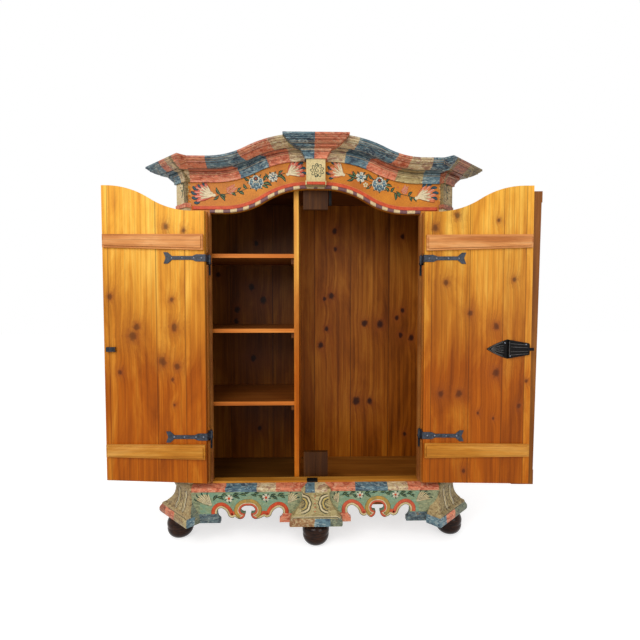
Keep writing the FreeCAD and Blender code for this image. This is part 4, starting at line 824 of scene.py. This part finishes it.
leaves("frieze", (
    (-470, 1750, -450, 1728, 12), (-468, 1756, -486, 1786, 12), (-468, 1756, -446, 1744, 10),
    (-478, 1752, -500, 1733, 10), (-418, 1764, -396, 1752, 12), (-378, 1768, -356, 1758, 13),
    (-384, 1770, -368, 1788, 10), (-338, 1786, -352, 1806, 12), (-262, 1800, -238, 1790, 12),
    (-258, 1812, -222, 1802, 14), (-256, 1828, -240, 1848, 11), (-326, 1826, -348, 1838, 11),
    (-188, 1850, -160, 1838, 13), (-178, 1850, -152, 1824, 12), (-182, 1854, -164, 1872, 11),
    (-228, 1842, -244, 1858, 9), (196, 1850, 166, 1858, 13), (192, 1846, 160, 1830, 12),
    (200, 1852, 186, 1872, 11), (250, 1834, 262, 1858, 11), (276, 1812, 252, 1792, 11),
    (346, 1796, 358, 1776, 13), (344, 1806, 374, 1800, 13), (376, 1772, 390, 1792, 12),
    (392, 1768, 396, 1738, 13), (404, 1764, 418, 1748, 11), (426, 1762, 404, 1776, 11),
    (462, 1754, 478, 1772, 12), (466, 1752, 474, 1730, 12), (480, 1748, 498, 1728, 10),
    (282, 1836, 268, 1856, 11), (348, 1824, 366, 1834, 10)))
blossom("frieze", (-438, 1764), (-398, 1794), 40)
blossom("frieze", (434, 1762), (450, 1800), 38)
rose("frieze", (-293, 1817), 38, 95)
rose("frieze", (316, 1812), 38, 90)
flower("frieze", (-210, 1843), 25, count=6, heart="flower_blue", shade="flower_blue")
spot("frieze", "shell_white", (-210, 1846), 4, 4)
flower("frieze", (224, 1845), 27, start=80, heart="flower_blue", shade="flower_teal")
spot("frieze", "flower_teal", (224, 1845), 5, 4)
flower("frieze", (247, 1808), 13, petal="shell_white", heart="scroll_ochre", dark=False)
for centre in ((-240, 1826), (-168, 1862), (178, 1868), (268, 1798), (-420, 1784), (408, 1796)):
    spot("frieze", "shell_pink", centre, 3.4, 2)

# the keystone's rosette: a dark scalloped line about smaller curls on cream
ROSETTE = (7, 1862)
for count, far, half in ((9, 30, 1.7), (7, 19, 1.4)):
    step = 360 / count
    for turn in evenly(0, 360, count)[:-1]:
        stroke("keystone", "leaf_green",
               about(ROSETTE, far, (0.74, turn), (1.05, turn + step * 0.2),
                     (1.12, turn + step * 0.6), (0.74, turn + step)), (0.6, 1, 1, 0.5), 1, half)
curl("keystone", "leaf_green", ROSETTE, 12, 1.1, 100, 1.6, 2)
for height, hand in ((1892, 1), (1834, -1)):
    curl("keystone", "leaf_green", (ROSETTE[0], height), 9, 0.8, 200, 1.3, 2, hand)
line("keystone", "orange_red", [(-44, 1802), (0, 1802), (46, 1802)], 11, 0)
print("frieze:", len(heaps["frieze"]), "strokes")

# %% [markdown]
# The skirts carry white flowers with red hearts and cream fans on the teal ground. A coral arch
# goes over each hole of the fretwork, and a buff scroll with a coral lining frames the middle
# opening, where the board hangs as a pair of hooks.

# %% The skirts
# points closer than this are one
WELD = 0.01 * MM
# millimetres: how level the soles of a skirt are, the steps along its edge, the height where its
# feet end, and how near to and far from its middle the tips of the two hooks can be
SOLE, PITCH, FOOT_HIGH, TIP_NEAR, TIP_FAR = 0.5, 4, 172, 38, 84
LONGEST = 2000


def lower_edge(sheet, name):
    """The fretted lower edge of a board as places on its sheet, from left to right."""
    _, right, up, out = sheets[sheet][:4]
    shape = bmesh.new()
    shape.from_mesh(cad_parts[name].data)
    bmesh.ops.remove_doubles(shape, verts=shape.verts, dist=WELD)
    face_at = max(vertex.co.dot(out) for vertex in shape.verts)
    ways = {}
    for edge in shape.edges:
        if all(vertex.co.dot(out) > face_at - 0.1 * MM for vertex in edge.verts) and any(
                face.normal.dot(out) < 0.5 for face in edge.link_faces):
            for vertex in edge.verts:
                ways.setdefault(vertex.index, []).append(edge.other_vert(vertex).index)
    shape.verts.ensure_lookup_table()

    def flat(index):
        place = shape.verts[index].co
        return (place.dot(right) / MM, place.dot(up) / MM)

    low = min(flat(index)[1] for index in ways)
    feet = [index for index in ways if flat(index)[1] < low + SOLE]
    start = min(feet, key=lambda index: flat(index)[0])
    end = max(feet, key=lambda index: flat(index)[0])
    walked = [start]
    step = max(ways[start], key=lambda index: (flat(index)[1] < low + SOLE, flat(index)[0]))
    while walked[-1] != end and len(walked) < LONGEST:
        walked.append(step)
        step = next((index for index in ways[step] if index not in walked), end)
    places = [flat(index) for index in walked]
    shape.free()
    even = [places[0]]
    for place in places[1:]:
        for _ in range(int(math.dist(even[-1], place) // PITCH)):
            step = PITCH / max(math.dist(even[-1], place), PITCH)
            even.append(between(even[-1], place, step))
    return even, low


def along_edge(sheet, colour, places, near, far, level, taper=False):
    """A band inside a board's edge, from one distance to another."""
    points, radii = [], []
    count = len(places)
    for index, place in enumerate(places):
        ahead, behind = places[min(index + 2, count - 1)], places[max(index - 2, 0)]
        size = max(math.dist(ahead, behind), 0.001)
        normal = ((behind[1] - ahead[1]) / size, (ahead[0] - behind[0]) / size)
        wide = far - near
        if taper:
            wide *= min(1, 0.25 + max(0, min(index, count - 1 - index) - 3) / 12)
        reach = near + wide / 2
        points.append((place[0] + normal[0] * reach, place[1] + normal[1] * reach))
        radii.append(wide / 2)
    stroke(sheet, colour, points, radii, level)


def edge_bands(sheet, name, centre):
    """Bands along the fretted edge: red over the outer holes and a scroll round the middle."""
    places, low = lower_edge(sheet, name)
    raised = [index for index, place in enumerate(places) if place[1] > low + 2]
    tips = []
    for hand in (-1, 1):
        near = [index for index in raised
                if TIP_NEAR < (places[index][0] - centre) * hand < TIP_FAR]
        tips.append(min(near, key=lambda index: places[index][1]))
    first, last = raised[0], raised[-1]
    left = [place for index, place in enumerate(places) if first <= index <= tips[0]
            and (place[1] > FOOT_HIGH or index > (first + tips[0]) / 2)]
    right = [place for index, place in enumerate(places) if tips[1] <= index <= last
             and (place[1] > FOOT_HIGH or index < (tips[1] + last) / 2)]
    middle = places[tips[0]:tips[1] + 1]
    arch = "coral" if centre > 0 else "orange_red"
    for part in (left, right):
        for colour, inner, outer, level in ((arch, 9.5, 29, 0), ("shell_cream", 1.5, 11, 1),
                                           ("dark_line", 0, 2, 1)):
            along_edge(sheet, colour, part, inner, outer, level)
    for colour, inner, outer, level, taper in (
            ("scroll_ochre", 13, 33, 2, True), ("shell_white", 11.5, 15.5, 3, False),
            ("coral", 1, 12, 3, False), ("eye_brown", 0, 1.8, 4, False)):
        along_edge(sheet, colour, middle, inner, outer, level, taper)
    print(name, "edge of", len(places), "places")


for sheet, name, centre in (("skirt_left", "front_skirt_left", -339),
                            ("skirt_right", "front_skirt_right", 311),
                            ("side_left", "side_skirt_left", -330),
                            ("side_right", "side_skirt_right", 330)):
    edge_bands(sheet, name, centre)
for sheet, size, heads, fans, stems in (
        ("skirt_left", 20, ((-433, 250), (-249, 253)),
         (((-517, 214), ((-590, 246), (-582, 264), (-560, 273), (-536, 270))),
          ((-140, 224), ((-92, 246), (-98, 266), (-122, 276)))),
         (((-512, 240), (-490, 262), (-460, 262), (-433, 250)),
          ((-433, 250), (-400, 268), (-360, 272)), ((-325, 270), (-290, 268), (-249, 253)),
          ((-249, 253), (-210, 258), (-170, 266), (-140, 262)))),
        ("skirt_right", 18, ((221, 261), (400, 261)),
         (((112, 224), ((88, 250), (96, 268), (114, 275))),
          ((506, 224), ((530, 275), (552, 270), (566, 256), (574, 240)))),
         (((120, 262), (160, 268), (221, 261)), ((221, 261), (262, 272), (296, 272)),
          ((330, 272), (366, 270), (400, 261)), ((400, 261), (446, 266), (500, 262))))):
    for base, tips in fans:
        fan(sheet, base, tips, 11)
    for centre in heads:
        flower(sheet, centre, size)
    for stem in stems:
        line(sheet, "leaf_green", stem, 1.3)
for sheet, centre in (("side_left", -330), ("side_right", 330)):
    for hand in (-1, 1):
        flower(sheet, (centre + 92 * hand, 254), 18)
        leaf(sheet, (centre + 70 * hand, 262), (centre + 40 * hand, 272), 11)
        leaf(sheet, (centre + 114 * hand, 256), (centre + 146 * hand, 268), 12)
leaves("skirt_left", (
    (-508, 242, -492, 264, 12), (-492, 258, -464, 246, 12), (-470, 262, -448, 272, 10),
    (-414, 262, -388, 272, 12), (-408, 258, -384, 250, 11), (-380, 270, -352, 264, 11),
    (-356, 272, -336, 278, 10), (-322, 268, -300, 260, 11), (-308, 270, -286, 276, 11),
    (-284, 266, -272, 250, 10), (-226, 256, -204, 268, 12), (-216, 254, -196, 244, 11),
    (-190, 260, -164, 270, 12), (-180, 260, -158, 250, 11)))
leaves("skirt_right", (
    (134, 262, 156, 272, 12), (146, 264, 164, 252, 11), (172, 268, 196, 276, 11),
    (186, 264, 198, 248, 10), (246, 266, 268, 276, 12), (250, 262, 272, 252, 11),
    (284, 272, 306, 278, 10), (326, 272, 348, 278, 10), (348, 272, 368, 260, 11),
    (362, 270, 382, 276, 10), (424, 264, 448, 274, 12), (430, 260, 452, 250, 11),
    (460, 264, 484, 272, 12), (474, 262, 492, 250, 10), (536, 246, 556, 262, 10)))


def ear(sheet, across, up, wide, high=46):
    """Nested curved lines like an ear: dark ones and pale ones in turn. A negative width makes
    it bulge to the left."""
    tones = ("dark_line", "shell_white", "dark_line", "pale_yellow", "dark_line")
    for ring, colour in enumerate(tones):
        share = 1 - ring * 0.145
        points = []
        for index, turn in enumerate(evenly(math.radians(-88), math.radians(88), 12)):
            ripple = 1 + 0.06 * math.sin(index * 2.2 + 0.6)
            points.append((across + wide * share * ripple * math.cos(turn) ** 0.8,
                           up + high * share * math.sin(turn)))
        stroke(sheet, colour, points, [0.5] + [1] * 11 + [0.5], 1, 2.7 if ring % 2 else 1.9)
    for index in range(-2, 3):
        height = up + high * index * 0.26
        stroke(sheet, "dark_line", [(across + wide * 0.06, height - 3),
                                    (across + wide * 0.2, height),
                                    (across + wide * 0.34, height + 5)], (0.5, 1.1, 0.5), 2)


def scroll(sheet, across, hand, low=182, high=280):
    """An upright wavy scroll: a pale core in a dark outline, with a dark vein."""
    points = []
    for index, up in enumerate(evenly(low, high, 10)):
        sway = 9 * math.sin(index / 10 * math.pi) - 5 + 2.5 * math.sin(index * 2.4)
        points.append((across + hand * sway, up))
    for colour, half, level in (("dark_line", 13, 1), ("shell_white", 9.5, 2),
                                ("dark_line", 1.8, 3)):
        stroke(sheet, colour, points, [0.4] + [1] * 9 + [0.4], level, half)
    stroke(sheet, "pale_yellow", [(x + hand * 6, y) for x, y in points[1:-1]],
           [1.0] + [2.2] * 7 + [1.0], 3)


# two ear scrolls on the middle block, and red dots between them
ear("block_centre", -78, 231, 56)
ear("block_centre", 64, 231, -52)
for height in (196, 214, 232, 250, 266):
    spot("block_centre", "coral", (-5, height), 2.8, 2)
level_line("block_centre", "dark_line", 150, 170, 1.3)
level_line("block_centre", "shell_white", 150, 174, 1.6)
print("skirts:", len(heaps["skirt_left"]) + len(heaps["skirt_right"]), "strokes")

# %% The corner blocks
for sheet, hand in (("corner_left", -1), ("corner_right", 1)):
    # a dark green scroll on the frieze block
    curl(sheet, "leaf_green", (-4 * hand, 1818), 30, 0.62, 80, 3.2, 1, hand, 0.62)
    curl(sheet, "leaf_green", (-2 * hand, 1768), 26, 0.62, 280, 3.0, 1, -hand, 0.62)
    line(sheet, "leaf_green", [(-20 * hand, 1812), (-22 * hand, 1790), (-18 * hand, 1770)], 3, 1)
    spot(sheet, "dark_line", (4 * hand, 1792), 3.4, 2)
    # scroll lines on the plinth block
    for across, side in ((-31, 1), (31, -1)):
        scroll(sheet, across, side)
    for height in (180, 198, 216, 234, 252, 270):
        spot(sheet, "dark_line", (0, height), 2.2, 2)
    level_line(sheet, "dark_line", 90, 168, 1.2)
    scroll("flank_" + sheet[7:], -24 * hand, hand, 180, 256)
    # a vine up the corner pilaster
    for step in range(11):
        height, side = 360 + step * 118, 1 if step % 2 else -1
        curl(sheet, "leaf_green", (6 * side, height + 30), 24, 0.8, 270, 2.6, 1, side, 0.7)
        line(sheet, "leaf_green", [(0, height - 50), (7 * side, height - 12),
                                   (0, height + 62)], 2.4, 0)
        leaf(sheet, (4 * side, height - 20), (28 * side, height + 2), 14)
        flower(sheet, (-13 * side, height + 58), 17, "flower_white" if step % 2 else "coral",
               "orange_red" if step % 2 else "shell_cream", dark=False)


def bouquet(sheet, middle, low, high):
    """Flowers on one stem that rises from a shell."""
    tall = high - low
    line(sheet, "leaf_green", [(middle, low + 30), (middle + 9, low + tall * 0.3),
                               (middle - 9, low + tall * 0.6), (middle, high - 46)], 2.6, 0)
    for side in (-1, 1):
        for share, far in ((0.34, 84), (0.66, 92)):
            foot, end = (middle, low + tall * share), (middle + side * far,
                                                       low + tall * (share + 0.14))
            line(sheet, "leaf_green", [foot, between(foot, end, 0.6, -0.2 * side), end], 2.0, 0)
            flower(sheet, end, 31)
            leaf(sheet, between(foot, end, 0.2), between(foot, end, 0.6, -0.4 * side), 13)
        for share in (0.2, 0.5, 0.84):
            foot = (middle, low + tall * share)
            leaf(sheet, foot, (foot[0] + side * 46, foot[1] + 24), 16)
    rose(sheet, (middle, low + tall * 0.56), 54)
    flower(sheet, (middle, high - 44), 36, "flower_blue", "eye_brown", 7, shade="flower_white")
    shell(sheet, (middle, low + 8), [polar((middle, low + 8), 84, turn)
                                     for turn in (30, 54, 78, 102, 126, 150)], 26)


def frame_line(sheet, colour, near, far, low, high, rise, half):
    """A band round a panel, whose top may swell up from its hinge side to its other side."""
    for places in ([(near, low), (far, low)], [(near, low), (near, high)],
                   [(far, low), (far, high + rise)],
                   [(near + (far - near) * share,
                     high + rise * (0.5 - 0.5 * math.cos(math.pi * share)))
                    for share in evenly(0, 1, 12)]):
        line(sheet, colour, places, half)


for side, hand in (("left", 1), ("right", -1)):
    sheet = "door_" + side
    for low, high, rise in ((406, 1010, 0), (1110, 1578, 121)):
        bouquet(sheet, hand * 246, low + 40, high - 34)
        frame_line(sheet, "coral", hand * 50, hand * 440, low - 20, high + 20, rise, 3.2)
        frame_line(sheet, "coral", hand * 110, hand * 380, low + 38, high - 38, rise, 1.8)

# nails in the straps, and the folds and nails of the lock; the nail heads are pale grey as a
# painted glint
for side, hand in (("left", -1), ("right", 1)):
    for height in (572, 1439):
        for far in (26, 62, 118, 168):
            spot("straps_" + side, "iron_nail", (hand * (PIN + far), height), 4.2, 0)
FOLD = (850, 1000)
# the lock's folds are raised ridges, coloured lighter than the lock as a painted highlight
for turn in (-52, -30, -10, 10, 30, 52):
    line("lock", "iron_ridge", [FOLD, polar(FOLD, 34, turn * 0.9), polar(FOLD, 66, turn * 0.55)],
         2.0, 0)
for size in (15, 24):
    line("lock", "iron_groove", [polar((882, 1000), size, turn)
                                 for turn in (-120, -60, 0, 60, 120)], 1.1, 1)
for height, slope in ((1028, -7), (1012, -3), (988, 3), (972, 7)):
    line("lock", "iron_ridge", [(938, height), (980, height + slope * 0.6),
                                (1022, height + slope)], 2.1, 0)
line("lock", "iron_ridge", [(933, 962), (933, 1000), (933, 1038)], 2.6, 0)
for side in (1, -1):
    line("lock", "iron_ridge", [(836, 1000), (870, 1000 + 26 * side), (912, 1000 + 38 * side)],
         2.0, 0)
for across, height in ((916, 1030), (936, 968), (1012, 1024)):
    spot("lock", "iron_nail", (across, height), 3.6, 2)

print("corners:", len(heaps["corner_left"]) + len(heaps["corner_right"]), "strokes")

# %% [markdown]
# Laying the strokes: every stroke of one colour on a sheet goes into one curve with a round
# bevel. The curve becomes a mesh, is pressed almost flat, and each of its points is cast onto
# the boards. Later coats lie a little higher, so that they cover the ones below them.

# %% Colours of the strokes
stroke_colours = {
    "orange_red": ((206, 84, 44), (176, 62, 34)),
    "coral": ((204, 96, 62), (176, 72, 50)),
    "leaf_green": ((34, 64, 48), (24, 44, 38)),
    "leaf_blue": ((40, 74, 84), (30, 50, 64)),
    "pale_yellow": ((206, 178, 96), (176, 146, 74)),
    "pale_green": ((140, 150, 84), (104, 122, 74)),
    "shell_rose": ((224, 150, 128), (206, 120, 100)),
    "shell_pink": ((206, 100, 76), (184, 76, 60)),
    "shell_orange": ((214, 128, 76), (198, 100, 58)),
    "shell_white": ((222, 206, 170), (196, 176, 138)),
    "shell_cream": ((208, 192, 146), (184, 160, 112)),
    "flower_white": ((216, 208, 184), (180, 178, 160)),
    "flower_blue": ((84, 106, 118), (56, 76, 92)),
    "flower_teal": ((140, 166, 166), (104, 132, 136)),
    "eye_brown": ((122, 62, 30), (84, 40, 22)),
    "dark_line": ((56, 62, 48), (38, 40, 36)),
    "scroll_ochre": ((188, 142, 62), (140, 124, 70)),
    # lighter iron on the lock's raised ridges: a painted highlight
    "iron_ridge": ((62, 56, 52), (24, 22, 21)),
    "iron_groove": ((6, 6, 7), (3, 3, 4)),
    # pale grey nail heads: a painted glint on the dark iron
    "iron_nail": ((140, 146, 160), (84, 88, 98)),
}
stroke_finish = {}
for name, pair in stroke_colours.items():
    iron = name.startswith("iron")
    made, where, *_ = finish("stroke_" + name, 0.3 if iron else 0.46, 0.4 if iron else 0.2)
    coat = clouded(where, *shades(*pair), 38.0, 6.0, 0.7, (0.38, 0.64))
    cover(Base_Color=worn(where, coat, 0.64, 0.7))
    stroke_finish[name] = made

# %% Laying the strokes
# how high the first coat lies, how much each later one adds and how far paint may bulge or dip;
# and how much of a stroke's round bevel is left on paint and on iron
LIFT, COAT, THIN = 0.25 * MM, 0.16 * MM, 0.07 * MM
FLAT, BOSSED = 0.035, 0.9
# metres: how far above the last each coat's curve is held until it is laid, and how far a point
# is cast
SHELF, CAST = 0.1, 2.0


def added(name, data):
    """An object in the scene from its name and its data."""
    made = bpy.data.objects.new(name, data)
    bpy.context.scene.collection.objects.link(made)
    return made


def tree_of(nodes, out):
    """A search tree over the faces of some boards, and how far out they reach."""
    corners, faces = [], []
    for name in nodes:
        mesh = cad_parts[name].data
        start = len(corners)
        corners.extend(vertex.co.copy() for vertex in mesh.vertices)
        faces.extend([start + index for index in face.vertices] for face in mesh.polygons)
    return BVHTree.FromPolygons(corners, faces), max(corner.dot(out) for corner in corners)


def lay_strokes(sheet, colour, strokes, tree, reach):
    """Strokes of one colour on one sheet as a mesh on the boards."""
    origin, right, up, out, _, body = sheets[sheet]
    data = bpy.data.curves.new(sheet + "_" + colour, "CURVE")
    data.dimensions = "3D"
    data.bevel_depth = MM
    data.bevel_resolution = 1
    data.resolution_u = 4
    data.use_fill_caps = True
    for level, points, radii in strokes:
        spline = data.splines.new("NURBS")
        spline.points.add(len(points) - 1)
        for point, (across, high), half in zip(spline.points, points, radii):
            point.co = (across * MM, high * MM, level * SHELF, 1)
            point.radius = half
        spline.order_u = 3
        spline.use_endpoint_u = True
    holder = added("holder", data)
    bpy.context.view_layer.update()
    ready = holder.evaluated_get(bpy.context.evaluated_depsgraph_get())
    mesh = bpy.data.meshes.new_from_object(ready)
    bpy.data.objects.remove(holder)
    iron = colour.startswith("iron")
    shape = bmesh.new()
    shape.from_mesh(mesh)
    for vertex in shape.verts:
        level = round(vertex.co.z / SHELF)
        rise = (vertex.co.z - level * SHELF) * (BOSSED if iron else FLAT)
        if not iron:
            rise = min(max(rise, -THIN), THIN)
        flat = origin + right * vertex.co.x + up * vertex.co.y
        hit = tree.ray_cast(flat + out, -out, CAST)[0]
        if hit is None:
            hit = tree.find_nearest(flat + out * (reach - flat.dot(out)))[0]
        vertex.co = hit + out * (LIFT + COAT * level + rise)
    bmesh.ops.remove_doubles(shape, verts=shape.verts, dist=WELD)
    bmesh.ops.dissolve_degenerate(shape, edges=shape.edges, dist=WELD)
    bmesh.ops.recalc_face_normals(shape, faces=shape.faces)
    for face in shape.faces:
        face.smooth = True
    shape.to_mesh(mesh)
    shape.free()
    piece = added("paint_" + sheet + "_" + colour, mesh)
    mesh.materials.clear()
    mesh.materials.append(stroke_finish[colour])
    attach(piece, body)
    return len(mesh.polygons)


faces_laid = 0
for sheet, strokes in heaps.items():
    tree, reach = tree_of(sheets[sheet][4], sheets[sheet][3])
    for colour in stroke_colours:
        chosen = [(level, points, radii) for name, level, points, radii in strokes
                  if name == colour]
        if chosen:
            faces_laid += lay_strokes(sheet, colour, chosen, tree, reach)
print("brushwork faces:", faces_laid)

# %% [markdown]
# The back planks stand a hair apart, as boards do once they have dried, and light would shine
# through from behind. Real boards have loose tongues in grooves for that. One thin strip in each
# joint does the same. Filling the joint with a darker line of paint would not stop the light.

# %% Tongues between the back planks
# millimetres: a tongue's size, half the back's width, and the middle of the planks
TONGUE, HALF_BACK, BACK_AT, BACK_MIDDLE = (0.3, 4, 1610), 657, 528, 1043
tongues = bmesh.new()
for share in (-0.785, -0.393, 0.0, 0.342, 0.7):
    size = Matrix.Diagonal((*(Vector(TONGUE) * MM), 1))
    centre = Vector((HALF_BACK * share, BACK_AT, BACK_MIDDLE)) * MM
    bmesh.ops.create_cube(tongues, size=1, matrix=Matrix.Translation(centre) @ size)
bmesh.ops.recalc_face_normals(tongues, faces=tongues.faces)
tongue_mesh = bpy.data.meshes.new("plank_tongues")
tongues.to_mesh(tongue_mesh)
tongues.free()
tongue = added("plank_tongues", tongue_mesh)
tongue_mesh.materials.append(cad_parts["back_planks"].data.materials[0])
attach(tongue, "case")
print("tongues:", len(tongue_mesh.polygons) // 6)

# %% [markdown]
# The photograph was taken from straight in front at chest height with a wide lens.
# Light comes softly from the front: a broad lamp high on the left, a weaker one on the right
# and an even world. The floor is a plain pale sheet that only takes a soft shadow.

# %% Camera
# millimetres of the sensor and the lens; then how far the camera looks down and to the right
SENSOR, LENS, DOWNWARD, RIGHTWARD = 36, 24.75, 0.044, 0.025
lens = bpy.data.cameras.new("camera")
lens.sensor_width, lens.lens = SENSOR, LENS
camera = added("camera", lens)
camera.location = (-0.0337, -2.2007, 1.2349)
camera.rotation_euler = (math.pi / 2 - DOWNWARD, 0, -RIGHTWARD)
bpy.context.scene.camera = camera

# %% Lamps and world
DAYLIGHT, FLOOR_GLOW = 0.62, 0.62


def lamp(name, place, target, size, power):
    """A square soft lamp that looks at a target."""
    data = bpy.data.lights.new(name, "AREA")
    data.size, data.energy = size, power
    made = added(name, data)
    made.location = place
    made.rotation_euler = (Vector(target) - Vector(place)).to_track_quat("-Z", "Y").to_euler()


def in_sight(tree):
    """One for the rays that the camera or a gloss sends, nothing for all others."""
    rays = put(tree, "LightPath").outputs
    return Flow(rays["Is Camera Ray"]).step("MAXIMUM", Flow(rays["Is Glossy Ray"]))


lamp("key_lamp", (-1.6, -3.4, 3.1), (0, 0, 1.1), 2.4, 110)
lamp("fill_lamp", (2.6, -3.2, 1.8), (0, 0, 0.9), 2.0, 45)
world = bpy.data.worlds.new("studio")
bpy.context.scene.world = world
world.use_nodes = True
tree = world.node_tree
light = tree.nodes["Background"]
light.inputs["Color"].default_value = (1, 1, 1, 1)
light.inputs["Strength"].default_value = DAYLIGHT
seen = put(tree, "Background", None, (1, 1, 1, 1), 1.0)
blend = put(tree, "MixShader", None, in_sight(tree), Flow(light.outputs[0]),
            Flow(seen.outputs[0]))
tree.links.new(blend.outputs[0], tree.nodes["World Output"].inputs["Surface"])

# %% Floor
grid = bmesh.new()
bmesh.ops.create_grid(grid, x_segments=1, y_segments=1, size=14)
floor_mesh = bpy.data.meshes.new("floor")
grid.to_mesh(floor_mesh)
grid.free()
floor = added("floor", floor_mesh)
paper, where, *_ = finish("floor_paper", 0.9, 0.1)
paper.node_tree.nodes["Principled BSDF"].inputs["Emission Color"].default_value = (1, 1, 1, 1)
cover(Base_Color=ramp(speckle(where, 3.0), ((0.0, 0.60), (1.0, 0.64))),
      Emission_Strength=in_sight(paper.node_tree) * FLOOR_GLOW)
floor_mesh.materials.append(paper)
bpy.context.scene.view_settings.view_transform = "Standard"
print("camera, lamps and floor ready")
